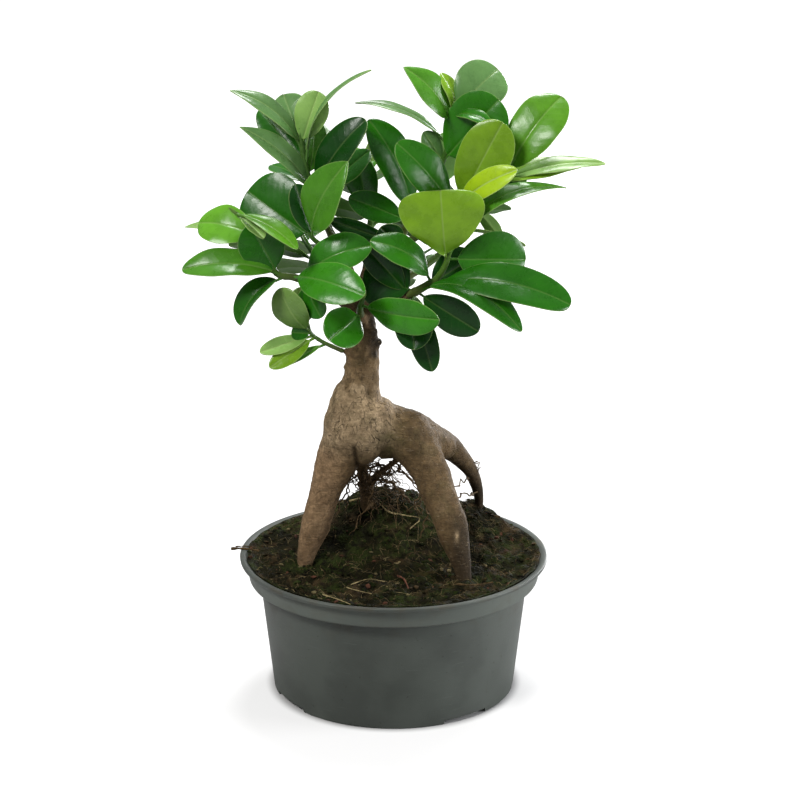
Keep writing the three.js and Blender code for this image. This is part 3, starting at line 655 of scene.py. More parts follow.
def pot_finish(colours):
    finish = Finish("moulded_plastic")
    height = finish.parts(finish.place())[2]
    cloud = finish.noise(35, 3)
    grain = finish.noise(2600, 2)
    scratch = finish.noise(120, 4, place=finish.place((1, 1, 9)))
    specks = finish.step(finish.noise(420, 3), 0.67, 0.74)
    dust = finish.step(height, 0.035, 0.066) * finish.step(finish.noise(90, 5), 0.48, 0.68)
    base = finish.mix(finish.step(cloud, 0.35, 0.65), rgba(colours.pot, 0.86), rgba(colours.pot, 1.16))
    base = finish.mix(finish.step(scratch, 0.62, 0.74) * 0.22, base, rgba(colours.pot, 2.0))
    base = finish.mix(dust * 0.30, base, rgba(colours.husk))
    base = finish.mix(specks * 0.35, base, rgba(colours.peat))
    # Painted highlight: the band under the lip is lightened, because its faces turn a little downwards and
    # catch less light.
    band = finish.step(height, 0.0555, 0.0565) * finish.step(height, 0.0662, 0.0645)
    base = finish.mix(band * 0.45, base, rgba(colours.pot, 2.2))
    rough = 0.44 + 0.10 * cloud + 0.14 * dust
    relief = grain * 0.35 + scratch * 0.4 + cloud * 0.3
    return finish.surface({
        "Base Color": base, "Roughness": rough, "Specular IOR Level": 0.4,
        "Normal": finish.bump(relief, 0.00018, 0.55),
    })


def peat_finish(colours):
    finish = Finish("moist_peat")
    tint = finish.read("tint")
    own = finish.read("tint", "Alpha")
    lumps = finish.noise(260, 6, 0.62)
    grit = finish.cells(900)
    patches = finish.noise(46, 4, 0.6)
    green = finish.step(patches, 0.44, 0.60) * finish.step(lumps, 0.34, 0.56)
    brown = finish.step(finish.noise(75, 4, 0.6), 0.50, 0.66)
    base = finish.mix(brown * 0.75, tint, rgba(colours.husk))
    base = finish.mix(green * 0.85, base, rgba(colours.moss))
    flecks = finish.step(finish.noise(720, 3, 0.6), 0.64, 0.74)
    base = finish.mix(flecks * 0.30, base, rgba(colours.straw, 0.55))
    base = finish.mix(own, base, tint)
    # Painted shade: the peat is darkened in the hollows between its lumps.
    shade = finish.step(lumps, 0.30, 0.62)
    base = finish.mix(1 - shade, base, rgba(PEAT_HOLLOW_SHADE), "MULTIPLY")
    relief = lumps + (0.6 - grit) * 0.5
    return finish.surface({
        "Base Color": base, "Roughness": 0.72 + 0.22 * lumps, "Specular IOR Level": 0.07,
        "Normal": finish.bump(relief, 0.0014, 1.0),
    })


def bark_finish(colours):
    finish = Finish("fig_bark")
    tint = finish.read("tint")
    crack_zone, ring_zone, _ = finish.parts(finish.read("zones", "Vector"))
    mottle = finish.noise(150, 5, 0.6)
    fine = finish.noise(900, 4, 0.65)
    speck = finish.noise(420, 4, 0.7)
    rings = finish.noise(150, 5, 0.62, finish.place((1.0, 1.0, 8.0)))
    dashes = finish.step(finish.noise(560, 3, 0.6, finish.place((0.55, 0.55, 2.2))), 0.60, 0.70)
    place = finish.place()
    drift = finish.node("ShaderNodeTexNoise", values={"Vector": place, "Scale": 190, "Detail": 3}, output=1)
    bend = finish.node(
        "ShaderNodeVectorMath", {"operation": "MULTIPLY_ADD"},
        {0: drift, 1: (0.0024, 0.0024, 0.0024), 2: place},
    )
    warped = finish.node("ShaderNodeMapping", values={"Vector": bend, "Scale": (1.0, 1.0, 0.30)})
    cracks = finish.cells(430, "DISTANCE_TO_EDGE", warped)
    broken = finish.step(finish.noise(260, 3, 0.6), 0.46, 0.58)
    crack = finish.step(cracks, 0.07, 0.0) * crack_zone * broken
    pits = finish.step(finish.cells(240), 0.16, 0.05) * finish.step(mottle, 0.5, 0.64)
    base = finish.mottled(tint, mottle, 0.30, 0.70, BARK_MOTTLE)
    base = finish.mottled(base, speck, 0.34, 0.66, BARK_GRAIN)
    base = finish.mix(finish.step(rings, 0.54, 0.68) * ring_zone * 0.55, base, rgba(colours.bark_dark))
    base = finish.mix(dashes * 0.36, base, rgba(colours.bark_pale, 1.25))
    base = finish.mix(crack * 0.72, base, rgba(colours.bark_dark))
    base = finish.mix(pits * 0.60, base, rgba(colours.bark_dark, 0.7))
    base = finish.mix(finish.step(fine, 0.62, 0.34) * 0.32, base, rgba(colours.bark_dark))
    relief = mottle * 0.45 + fine * 0.26 + rings * 0.55 + dashes * 0.22 - crack * 0.8 - pits * 0.6
    return finish.surface({
        "Base Color": base, "Roughness": 0.66 + 0.20 * fine, "Specular IOR Level": 0.2,
        "Normal": finish.bump(relief, 0.0014, 0.9),
    })


def leaf_finish(colours):
    finish = Finish("glossy_leaf")
    tint = finish.read("tint")
    upper = finish.read("tint", "Alpha")
    across, along, rim = finish.parts(finish.read("blade", "Vector"))
    youth, seed, _ = finish.parts(finish.read("growth", "Vector"))
    side = abs(across)
    midrib = finish.step(side, 0.65, 0.15)
    edge = finish.step(rim, 0.42, 0.12)
    shift = finish.node("ShaderNodeCombineXYZ", values={0: seed * 9.0, 1: seed * 7.0, 2: seed * 5.0})
    local = finish.node("ShaderNodeVectorMath", {"operation": "ADD"}, {0: finish.place(), 1: shift})
    waver = finish.noise(170, 2, place=local)
    course = (along - side * 0.62) / 3.6 + waver * 0.9
    wave = abs(finish.node("ShaderNodeMath", {"operation": "PINGPONG"}, {0: course, 1: 0.5}))
    vein = finish.step(wave, 0.05, 0.0) * finish.step(side, 0.5, 1.4) * finish.step(rim, 0.6, 2.2)
    mottle = finish.noise(110, 6, 0.68, local)
    cells = finish.noise(1500, 2, 0.5, local)
    base = finish.mottled(tint, mottle, 0.32, 0.68, LEAF_MOTTLE)
    # Painted shade: the blade darkens towards its petiole.
    base = finish.mix(finish.step(along, 16, 4) * 0.35, base, rgba(colours.deep))
    under = finish.mix(0.55, tint, rgba(colours.olive))
    base = finish.mix(1 - upper, base, under)
    base = finish.mix(vein * (0.02 + 0.12 * youth), base, rgba(colours.rib))
    base = finish.mix(midrib * (0.09 + 0.40 * youth), base, rgba(colours.rib))
    base = finish.mix(edge * (0.28 + 0.26 * youth), base, rgba(colours.rib))
    specks = finish.step(finish.cells(520, place=local), 0.10, 0.03) * finish.step(mottle, 0.52, 0.66)
    base = finish.mix(specks * 0.20, base, rgba(colours.rib, 1.5))
    rough = 0.50 - 0.28 * upper + 0.12 * mottle
    ripple = finish.noise(95, 3, 0.5, local)
    pillow = finish.step(wave, 0.5, 0.0)
    relief = ripple * 1.2 - midrib * 0.30 * upper - vein * 0.05 + cells * 0.05 + pillow * 0.07
    return finish.surface({
        "Base Color": base, "Roughness": rough, "Specular IOR Level": 0.27,
        "Normal": finish.bump(relief, 0.0005, 0.6),
    })


def floor_finish():
    """White paper that glows more towards its far edges and not at all under the pot. Only the camera
    sees it so. For all other light it is a dull grey."""
    finish = Finish("white_paper")
    x, y, _ = finish.parts(finish.place())
    reach = (x * x + y * y) ** 0.5
    glow = finish.mix(finish.step(reach, *GLOW_FADE), grey(GLOW_NEAR), grey(GLOW_FAR))
    glow = finish.mix(finish.step(reach, *POT_SHADE), glow, grey(0))
    base = finish.mix(finish.noise(6, 2), grey(PAPER_DARK), grey(PAPER_LIGHT))
    paper = finish.node("ShaderNodeBsdfPrincipled", values={
        "Base Color": base, "Roughness": 0.9, "Specular IOR Level": 0.0, "Emission Color": glow,
        "Emission Strength": 1.0,
    })
    dim = finish.node("ShaderNodeBsdfDiffuse", values={"Color": grey(BOUNCE)})
    seen = finish.node("ShaderNodeLightPath")
    return finish.close(finish.node("ShaderNodeMixShader", values={0: seen, 1: dim, 2: paper}))


class Path:
    """A smooth centripetal curve through points, with a place on it from 0 to 1."""

    def __init__(self, points):
        self.points = [np.array(point, float) for point in points]

    def at(self, place):
        points = self.points
        last = len(points) - 1
        scaled = min(max(place, 0.0), 1.0) * last
        start = min(int(scaled), last - 1)
        share = scaled - start
        inner = points[start:start + 2]
        before = points[start - 1] if start > 0 else 2 * points[0] - points[1]
        after = points[start + 2] if start + 2 <= last else 2 * points[last] - points[last - 1]
        corners = [before, *inner, after]
        gaps = [max(np.linalg.norm(b - a), 1e-8) ** 0.5 for a, b in zip(corners, corners[1:])]
        a, b, c, d = corners
        leave = ((b - a) / gaps[0] - (c - a) / (gaps[0] + gaps[1]) + (c - b) / gaps[1]) * gaps[1]
        arrive = ((c - b) / gaps[1] - (d - b) / (gaps[1] + gaps[2]) + (d - c) / gaps[2]) * gaps[1]
        square = share * share
        cube = square * share
        return (
            b + leave * share + (3 * (c - b) - 2 * leave - arrive) * square
            + (2 * (b - c) + leave + arrive) * cube
        )

    def along(self, place):
        step = self.at(min(place + 1e-4, 1.0)) - self.at(max(place - 1e-4, 0.0))
        return step / np.linalg.norm(step)

    def samples(self, count, start=0.0, end=1.0):
        return np.array([self.at(start + (end - start) * k / (count - 1)) for k in range(count)])

    def length(self):
        return np.linalg.norm(np.diff(self.samples(200), axis=0), axis=1).sum()


class Form:
    """A mesh under construction, with what its material reads at each point."""

    def __init__(self, name, **layers):
        self.name = name
        self.points = []
        self.faces = []
        self.count = 0
        self.widths = layers
        self.layers = {layer: [] for layer in layers}

    def add(self, points, faces, **values):
        points = np.asarray(points, float).reshape(-1, 3)
        for layer, width in self.widths.items():
            value = np.broadcast_to(np.asarray(values[layer], float), (len(points), width))
            self.layers[layer].append(value)
        self.faces.extend([[index + self.count for index in face] for face in faces])
        self.points.append(points)
        self.count += len(points)

    def build(self, sharp=50):
        """The finished object: millimetres become metres, and faces look outwards."""
        mesh = bpy.data.meshes.new(self.name)
        mesh.from_pydata((np.concatenate(self.points) * MM).tolist(), [], self.faces)
        for layer, values in self.layers.items():
            add_layer(mesh, layer, np.concatenate(values))
        tidy(mesh, sharp)
        return show(mesh)


def add_layer(mesh, name, values):
    kind, field = ("FLOAT_COLOR", "color") if values.shape[1] == 4 else ("FLOAT_VECTOR", "vector")
    layer = mesh.attributes.new(name, kind, "POINT")
    layer.data.foreach_set(field, np.ascontiguousarray(values, np.float32).ravel())


def tidy(mesh, sharp):
    """Turns the faces outwards and makes them smooth, with sharp edges above an angle in degrees."""
    work = bmesh.new()
    work.from_mesh(mesh)
    bmesh.ops.recalc_face_normals(work, faces=work.faces)
    for face in work.faces:
        face.smooth = True
    limit = math.radians(sharp)
    for edge in work.edges:
        if len(edge.link_faces) == 2:
            edge.smooth = edge.calc_face_angle(0.0) < limit
    work.to_mesh(mesh)
    work.free()
    mesh.update()


def show(mesh):
    piece = bpy.data.objects.new(mesh.name, mesh)
    bpy.context.scene.collection.objects.link(piece)
    return piece


def settle(piece, material, slot, *nodes):
    """Gives a piece its material and lets it ride on the plant in place of CAD nodes. The slot is not used.
    """
    piece.data.materials.clear()
    piece.data.materials.append(material)
    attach(piece, "root")
    if nodes:
        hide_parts(*nodes)


def tube(centres, radii, sides):
    """Points and faces of a closed tube around a line of centres."""
    centres = np.asarray(centres, float)
    radii = np.broadcast_to(radii, len(centres))
    along = np.gradient(centres, axis=0)
    along /= np.linalg.norm(along, axis=1, keepdims=True) + 1e-12
    side = np.array((0.0, -1.0, 0.0))
    if abs(along[0] @ side) > 0.95:
        side = np.array((1.0, 0.0, 0.0))
    angles = np.arange(sides) * 2 * math.pi / sides
    rings = []
    for centre, radius, ahead in zip(centres, radii, along):
        side = side - ahead * (side @ ahead)
        side /= np.linalg.norm(side)
        other = np.cross(ahead, side)
        ring = centre + radius * (np.cos(angles)[:, None] * side + np.sin(angles)[:, None] * other)
        rings.append(ring)
    points = np.concatenate([*rings, centres[:1], centres[-1:]])
    last = len(centres) - 1
    start_cap, end_cap = len(points) - 2, len(points) - 1
    faces = []
    for i in range(sides):
        j = (i + 1) % sides
        for ring in range(last):
            a, b = ring * sides + i, ring * sides + j
            faces.append((a, b, b + sides, a + sides))
        faces.append((start_cap, j, i))
        faces.append((end_cap, last * sides + i, last * sides + j))
    return points, faces


def unit(vector):
    return vector / np.linalg.norm(vector)


def smooth_step(value, low, high):
    share = np.clip((value - low) / (high - low), 0, 1)
    return share * share * (3 - 2 * share)


def rounded(profile, steps=5):
    """A profile whose inner corners are rounded by the amount that each one names."""
    points = []
    for k, (radius, height, amount) in enumerate(profile):
        corner = np.array((radius, height), float)
        if amount == 0 or k in (0, len(profile) - 1):
            points.append(corner)
            continue
        before = np.array(profile[k - 1][:2], float) - corner
        after = np.array(profile[k + 1][:2], float) - corner
        reach = min(amount, 0.45 * np.linalg.norm(before), 0.45 * np.linalg.norm(after))
        start, end = corner + unit(before) * reach, corner + unit(after) * reach
        for share in np.linspace(0, 1, steps):
            points.append((1 - share) ** 2 * start + 2 * share * (1 - share) * corner + share ** 2 * end)
    return points


def lathe(profile, sides):
    """Points and faces of a closed solid turned from a profile that starts and ends on the axis."""
    angles = np.arange(sides) * 2 * math.pi / sides
    inner = profile[1:-1]
    points = [(0, 0, profile[0][1]), (0, 0, profile[-1][1])]
    for radius, height in inner:
        points.extend((radius * math.cos(a), radius * math.sin(a), height) for a in angles)
    faces = []
    last = len(inner) - 1
    for i in range(sides):
        j = (i + 1) % sides
        for ring in range(last):
            a, b = 2 + ring * sides + i, 2 + ring * sides + j
            faces.append((a, b, b + sides, a + sides))
        faces.append((0, 2 + j, 2 + i))
        faces.append((1, 2 + last * sides + i, 2 + last * sides + j))
    return points, faces


def pot_cutters():
    """The wedges of the foot's notches and the drills of the drain holes, as one form."""
    form = Form("pot_cutters")
    inside, outside = NOTCH_REACH
    half = math.radians(NOTCH_ARC / 2)
    for angle in NOTCH_ANGLES:
        middle = math.radians(angle) - math.pi / 2
        turns = np.linspace(middle - half, middle + half, 9)
        ring = [(inside * math.cos(t), inside * math.sin(t)) for t in turns[::-1]]
        ring += [(outside * math.cos(t), outside * math.sin(t)) for t in turns]
        form.add(*prism(ring, -3, NOTCH_TOP))
    for hole in range(DRAIN_HOLES):
        turn = 2 * math.pi * hole / DRAIN_HOLES
        centre = (DRAIN_CIRCLE * math.sin(turn), DRAIN_CIRCLE * math.cos(turn))
        ring = [
            (centre[0] + DRAIN_RADIUS * math.cos(t), centre[1] + DRAIN_RADIUS * math.sin(t))
            for t in np.arange(32) * 2 * math.pi / 32
        ]
        form.add(*prism(ring, -1, 9))
    return form.build()


def prism(ring, low, high):
    count = len(ring)
    points = [(x, y, low) for x, y in ring] + [(x, y, high) for x, y in ring]
    faces = [tuple(range(count)), tuple(range(count, 2 * count))]
    faces += [(i, (i + 1) % count, (i + 1) % count + count, i + count) for i in range(count)]
    return points, faces


def applied(piece, name):
    """A new mesh with the piece's modifiers applied; the piece is removed."""
    graph = bpy.context.evaluated_depsgraph_get()
    mesh = bpy.data.meshes.new_from_object(piece.evaluated_get(graph))
    mesh.name = name
    bpy.data.objects.remove(piece)
    return mesh


def soil_height(x, y):
    """The soil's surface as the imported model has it, in millimetres."""
    level = SOIL_LEVEL + SOIL_WAVES * (
        np.sin(0.31 * x + 1.3) * np.sin(0.27 * y + 0.4) + 0.6 * np.sin(0.53 * x - 0.41 * y)
    )
    for middle_x, middle_y, height, spread_x, spread_y in SOIL_HILLS:
        off_x, off_y = (x - middle_x) / spread_x, (y - middle_y) / spread_y
        level = level + height * np.exp(-off_x ** 2 - off_y ** 2)
    return level


def lump(x, y):
    """The finer relief of the soil at a place, from about -1 to 1."""
    coarse = noise.noise((x / 9, y / 9, 3.1))
    middle = noise.noise((x / 3.6, y / 3.6, 7.7))
    fine = noise.noise((x / 1.5, y / 1.5, 1.9))
    return 0.7 * coarse + 0.6 * middle + 0.3 * fine


def soil_top(x, y, relief):
    """The soil's surface as it is shown: with its lumps, its raised edge and its lap over the lip."""
    edge = smooth_step(math.hypot(x, y), *SOIL_EDGE)
    lap = smooth_step(math.hypot(x, y), *SOIL_LAP)
    level = float(soil_height(x, y)) + relief * lump(x, y) * (1.6 - 0.8 * edge) + SOIL_EDGE_RISE * edge
    return level * (1 - lap) + (SOIL_LAP_TOP + 0.3 * lump(x, y)) * lap


def random_on_soil(dice):
    radius = LITTER_REACH * math.sqrt(dice.random())
    turn = dice.uniform(0, 2 * math.pi)
    return radius * math.cos(turn), radius * math.sin(turn)


def add_crumb(form, dice, x, y, size, relief, tint):
    """One lump of soil: a small ball with flattened and pushed-in sides."""
    ball = bmesh.new()
    bmesh.ops.create_icosphere(ball, subdivisions=1, radius=1.0)
    shift = Vector((dice.uniform(0, 90), dice.uniform(0, 90), dice.uniform(0, 90)))
    turn = dice.uniform(0, math.pi)
    stretch = dice.uniform(0.65, 1.0), dice.uniform(0.9, 1.5), dice.uniform(0.45, 0.8)
    cos, sin = math.cos(turn), math.sin(turn)
    level = soil_top(x, y, relief) + 0.15 * size
    points = []
    for vertex in ball.verts:
        swell = 1 + 0.8 * noise.noise(vertex.co * 1.7 + shift)
        px, py, pz = (vertex.co[k] * stretch[k] * size * swell for k in range(3))
        points.append((x + px * cos - py * sin, y + px * sin + py * cos, level + pz))
    faces = [[vertex.index for vertex in face.verts] for face in ball.faces]
    ball.free()
    form.add(points, faces, tint=tint)


def add_fibre(form, dice, x, y, relief, tint):
    """One fine fibre that wanders over the soil."""
    heading = dice.uniform(0, 2 * math.pi)
    length = dice.uniform(*FIBRE_LENGTH)
    radius = dice.uniform(*FIBRE_RADIUS)
    lift = dice.uniform(*FIBRE_LIFT)
    centres = []
    for k in range(FIBRE_STEPS):
        heading += dice.uniform(*FIBRE_TURN)
        share = k / (FIBRE_STEPS - 1)
        if math.hypot(x, y) > LITTER_REACH:
            break
        height = soil_top(x, y, relief) + radius + lift * math.sin(math.pi * share)
        centres.append((x, y, height))
        x += length / FIBRE_STEPS * math.cos(heading)
        y += length / FIBRE_STEPS * math.sin(heading)
    if len(centres) > 2:
        form.add(*tube(centres, np.linspace(radius, radius * 0.6, len(centres)), 4), tint=tint)


def blade_half_width(place, outline_name):
    """Half the width at a place along a leaf, as a share of the width, for one of the outlines."""
    base_taper, tip_taper = BASE_AND_TIP_TAPER[outline_name]

    def outline(share):
        return share ** base_taper * (1 - share) ** tip_taper

    widest = base_taper / (base_taper + tip_taper)
    share = min(max((place - PETIOLE_SHARE) / (1 - PETIOLE_SHARE), 0.0), 1.0)
    return 0.5 * outline(share) / outline(widest)


def blade_faces(stations, count):
    """The faces of a closed blade with so many stations along it and so many points across it."""
    faces = []
    below = stations * count
    for k in range(stations - 1):
        for j in range(count - 1):
            a = k * count + j
            faces.append((a, a + 1, a + 1 + count, a + count))
            faces.append((below + a, below + a + count, below + a + 1 + count, below + a + 1))
        for j in (0, count - 1):
            a = k * count + j
            faces.append((a, a + count, below + a + count, below + a))
    for k in (0, stations - 1):
        for j in range(count - 1):
            a = k * count + j
            faces.append((a, a + 1, below + a + 1, below + a))
    return faces


def add_leaf(form, base, row, faces_to, thickness, tint, seed, youth):
    """A blade with a grooved midrib, slightly wavy rims and a thin edge, on its petiole."""
    tip, width, roll, arch, fold, outline = row
    chord = np.array(tip, float) - base
    length = np.linalg.norm(chord)
    axis = chord / length
    up = np.array(faces_to, float)
    up = unit(up - axis * (up @ axis))
    turn = math.radians(roll)
    up = up * math.cos(turn) + np.cross(axis, up) * math.sin(turn)
    across = np.cross(axis, up)
    dice = random.Random(seed)
    phase, waves = dice.uniform(0, FULL_TURN), dice.uniform(*RIM_WAVES)
    ripple = dice.uniform(*RIM_RIPPLE) * width
    droop = dice.uniform(*TIP_DROOP)

    def middle(place):
        bow = 4 * place * (1 - place) * arch * length
        ahead = axis + up * 4 * (1 - 2 * place) * arch
        normal = unit(np.cross(across, unit(ahead)))
        return base + chord * place + up * bow - normal * droop * length * max(place - 0.6, 0) ** 2, normal

    growth = (youth, seed * 0.013, 0)
    columns = np.array(LEAF_COLUMNS)
    upper, lower, blade = [], [], []
    for k in range(LEAF_ROWS + 1):
        share = 0.5 - 0.5 * math.cos(math.pi * (0.04 + 0.96 * k / LEAF_ROWS))
        place = PETIOLE_SHARE + (1 - PETIOLE_SHARE) * share
        centre, normal = middle(place)
        half = max(blade_half_width(place, outline) * width, LEAST_HALF_WIDTH)
        rise = half * math.sin(math.radians(fold)) * np.abs(columns) ** 1.3
        rise = rise + ripple * np.sin(phase + waves * FULL_TURN * place + 1.3 * columns) * columns ** 2
        rise = rise - 0.10 * half * np.abs(columns) ** 4
        reach = half * math.cos(math.radians(fold)) * columns
        surface = centre + across * reach[:, None] + normal * rise[:, None]
        groove = GROOVE_DEPTH * np.exp(-((reach / GROOVE_WIDTH) ** 2)) * min(1.0, half / 3)
        thin = thickness * (0.5 - 0.22 * np.abs(columns) ** 6)
        upper.append(surface + normal * (thin - groove)[:, None])
        lower.append(surface - normal * (thin + 0.8 * groove)[:, None])
        rim = np.minimum(half * (1 - np.abs(columns)), (1 - place) * length)
        blade.append(np.stack([reach, np.full_like(reach, place * length), rim], -1))
    points = np.concatenate([*upper, *lower])
    marks = np.concatenate([*blade, *blade])
    sides = np.repeat((1.0, 0.0), len(points) // 2)
    colour = np.concatenate([np.tile(tint, (len(points), 1)), sides[:, None]], axis=1)
    form.add(points, blade_faces(len(upper), len(columns)), tint=colour, blade=marks, growth=growth)

    stalk = []
    for place in np.linspace(0, PETIOLE_SHARE + PETIOLE_OVERLAP, PETIOLE_STEPS):
        centre, normal = middle(place)
        stalk.append(centre - normal * (0.35 + 0.25 * min(place / PETIOLE_SHARE, 1)))
    radii = np.interp(np.linspace(0, 1, PETIOLE_STEPS), (0, 0.15, 0.5, 1), (0.85, 0.7, 0.6, 0.3))
    stalk_tint = 0.6 * np.array(tint) + 0.4 * np.array(PETIOLE_GREEN)
    petiole = tube(stalk, radii, PETIOLE_SIDES)
    form.add(*petiole, tint=(*stalk_tint, 1), blade=OFF_BLADE, growth=growth)


def add_twig(form, path, split, radii, tint, seed):
    """The green twig from where the wood ends, with slight joints, and a pointed bud at its end."""
    places = np.linspace(0, 1, TWIG_STEPS)
    centres = [path.at(split + (1 - split) * place) for place in places]
    thick = radii[0] + (radii[1] - radii[0]) * places
    thick = thick * (1 + 0.12 * np.maximum(np.sin(places * 26 + seed), 0) ** 6)
    points, faces = tube(centres, thick, TWIG_SIDES)
    wood = np.array(TWIG_WOOD)
    green = 0.2 * np.array(tint) + 0.8 * np.array(TWIG_GREEN)
    shares = np.append(np.repeat(places, TWIG_SIDES), (0, 1))
    blend = smooth_step(shares, 0.0, 0.65)[:, None]
    colour = np.concatenate([wood * (1 - blend) + green * blend, np.ones((len(points), 1))], axis=1)
    form.add(points, faces, tint=colour, blade=OFF_BLADE, growth=(0.3, seed * 0.017, 0))
    end, ahead = path.at(1), path.along(1)
    places = np.linspace(0, 1, BUD_STEPS)
    centres = [end + ahead * BUD_LENGTH * place for place in places]
    thick = radii[1] * np.interp(places, (0, 0.3, 0.7, 1), (0.95, 1.05, 0.6, 0.12))
    bud = tube(centres, thick, BUD_SIDES)
    form.add(*bud, tint=BUD_GREEN, blade=OFF_BLADE, growth=(0.8, seed * 0.017, 0))


def limb_samples():
    """Centres and radii along every limb and woody branch, for finding a place's nearest wood."""
    centres, radii = [], []
    for rows in LIMBS.values():
        path = Path([point for point, _ in rows])
        count = SAMPLES_PER_POINT * len(rows)
        centres.append(path.samples(count))
        places = np.linspace(0, 1, count)
        radii.append(np.interp(places, np.linspace(0, 1, len(rows)), [radius for _, radius in rows]))
    for shoot in SHOOTS.values():
        path, split = shoot_path(shoot)
        centres.append(path.samples(SHOOT_SAMPLES, 0, split))
        radii.append(np.linspace(shoot["radii"][0], shoot["radii"][1], SHOOT_SAMPLES))
    return centres, radii


def shoot_path(shoot):
    """The whole path of a shoot, and the place on it where the wood ends and the green twig starts."""
    wood, twig = shoot["wood"], shoot["twig"]
    return Path([*wood, *twig]), (len(wood) - 1) / (len(wood) + len(twig) - 1)


def crease(points):
    """How deep each point lies in the fold between the left root leg and the belly, from 0 to 1."""
    x, y, z = points.T
    line = -17.6 - 0.10 * (z - 118)
    near = np.exp(-(((x - line) / 1.2) ** 2))
    return near * smooth_step(z, 108, 115) * (1 - smooth_step(z, 122, 130)) * (1 - smooth_step(y, -4, 0))


def bark_height(point, girth):
    """Relief of the bark at a point in millimetres, as a share of the full relief."""
    x, y, z = point
    low = noise.noise((x / 15, y / 15, z / 17))
    middle = noise.noise((x / 5, y / 5, z / 6 + 5))
    fine = noise.noise((x / 2.0, y / 2.0, z / 2.4 + 9))
    rings = noise.noise((x / 7, y / 7, z / 1.1 + 2))
    knots = smooth_step(z, 158, 172) * (middle + 0.9 * fine)
    return (0.5 * low + 0.45 * middle + 0.25 * fine + 0.22 * rings + knots) * girth


def bark_tints(points, normals, colours):
    """The bark's colour at each point, with moss, painted shade in the folds and on the parts that face
    downwards, and the wound on the right foot.
    """
    x, y, z = points.T
    cloud = np.array([noise.noise((a / 11, b / 11, c / 13)) for a, b, c in points])
    patch = np.array([noise.noise((a / 4.5, b / 4.5, c / 5 + 3)) for a, b, c in points])
    pale, tan, dark, green = (
        np.array(c) for c in (colours.bark_pale, colours.bark_tan, colours.bark_dark, colours.bark_green)
    )
    body = smooth_step(z, 112, 128) * (1 - smooth_step(z, 152, 166)) * (1 - smooth_step(x, -4, 8))
    right = smooth_step(x + 4 * patch, -4, 9) * (1 - smooth_step(z, 140, 152))
    neck = smooth_step(z + 9 * patch + 4 * cloud, 149, 156)
    rear = smooth_step(y, 8, 20)
    fold = np.exp(-(((x + 1) / 9) ** 2) - ((z - 126) / 9) ** 2) * (1 - smooth_step(y, 0, 10))
    # Painted shade on the parts that face downwards.
    painted_shade_beneath = smooth_step(-normals[:, 2], 0.1, 0.8) * smooth_step(z, 95, 105)
    film = smooth_step(patch + 0.4 * cloud, 0.12, 0.42)
    foot = (1 - smooth_step(z, 64, 82)) * (0.3 + 0.7 * smooth_step(x, -10, 10))
    lit = smooth_step(cloud, 0.1, 0.5)
    left = smooth_step(-x, 20, 32) * (1 - smooth_step(z, 118, 128))
    right_foot = smooth_step(x, 24, 31) * (1 - smooth_step(z, 84, 104))
    neck_side = smooth_step(z + 3 * patch, 165, 171) * (1 - smooth_step(z, 186, 194))
    neck_side = neck_side * smooth_step(x, -13.5, -9.5)
    scar = np.exp(-(((points - SCAR_CENTRE) / SCAR_SPREAD) ** 2).sum(axis=1))
    tint = np.tile(tan, (len(points), 1))
    for colour, share in (
        (pale, body * (0.95 + 0.35 * cloud)),
        (0.64 * dark + 0.36 * tan, right * 0.9),
        (0.35 * dark + 0.65 * tan, neck * (0.85 + 0.5 * patch)),
        (dark, rear * 0.35),
        (green, fold * (0.75 + 0.5 * patch)),
        (dark, painted_shade_beneath * 0.6),
        (green, film * 0.30),
        (0.7 * dark, foot * (0.35 + 0.5 * patch)),
        (pale * 1.1, lit * 0.12),
        (pale * LEFT_LEG_TONE, left * 0.55),
        (0.42 * dark, right_foot * 0.9),
        (0.8 * dark, crease(points) * 0.75),
        (0.30 * dark, neck_side * (1.0 + 0.5 * patch)),
        (pale * 1.45, scar * 0.8),
    ):
        share = np.clip(share, 0, 1)[:, None]
        tint = tint * (1 - share) + colour * share
    split = body * smooth_step(x, -18, -10)
    zones = np.stack([0.25 + 0.35 * body + 0.4 * split, 0.45 + 0.55 * neck, film], -1)
    return np.concatenate([tint, np.ones((len(points), 1))], axis=1), zones


class FICUS_OT_pot(bpy.types.Operator):
    """Build the moulded pot with its lip, band, foot notches and drain holes"""

    bl_idname = "ficus.pot"
    bl_label = "Pot"

    def execute(self, context):
        form = Form("pot_body")
        form.add(*lathe(rounded(POT_OUTSIDE + POT_INSIDE), POT_SIDES))
        piece = form.build()
        cutters = pot_cutters()
        cut = piece.modifiers.new("cut", "BOOLEAN")
        cut.object = cutters
        cut.operation = "DIFFERENCE"
        cut.solver = "EXACT"
        mesh = applied(piece, "pot_body")
        bpy.data.objects.remove(cutters)
        tidy(mesh, 38)
        settle(show(mesh), pot_finish(context.scene.bonsai_colours), "pot_plastic", "pot")
        return {"FINISHED"}


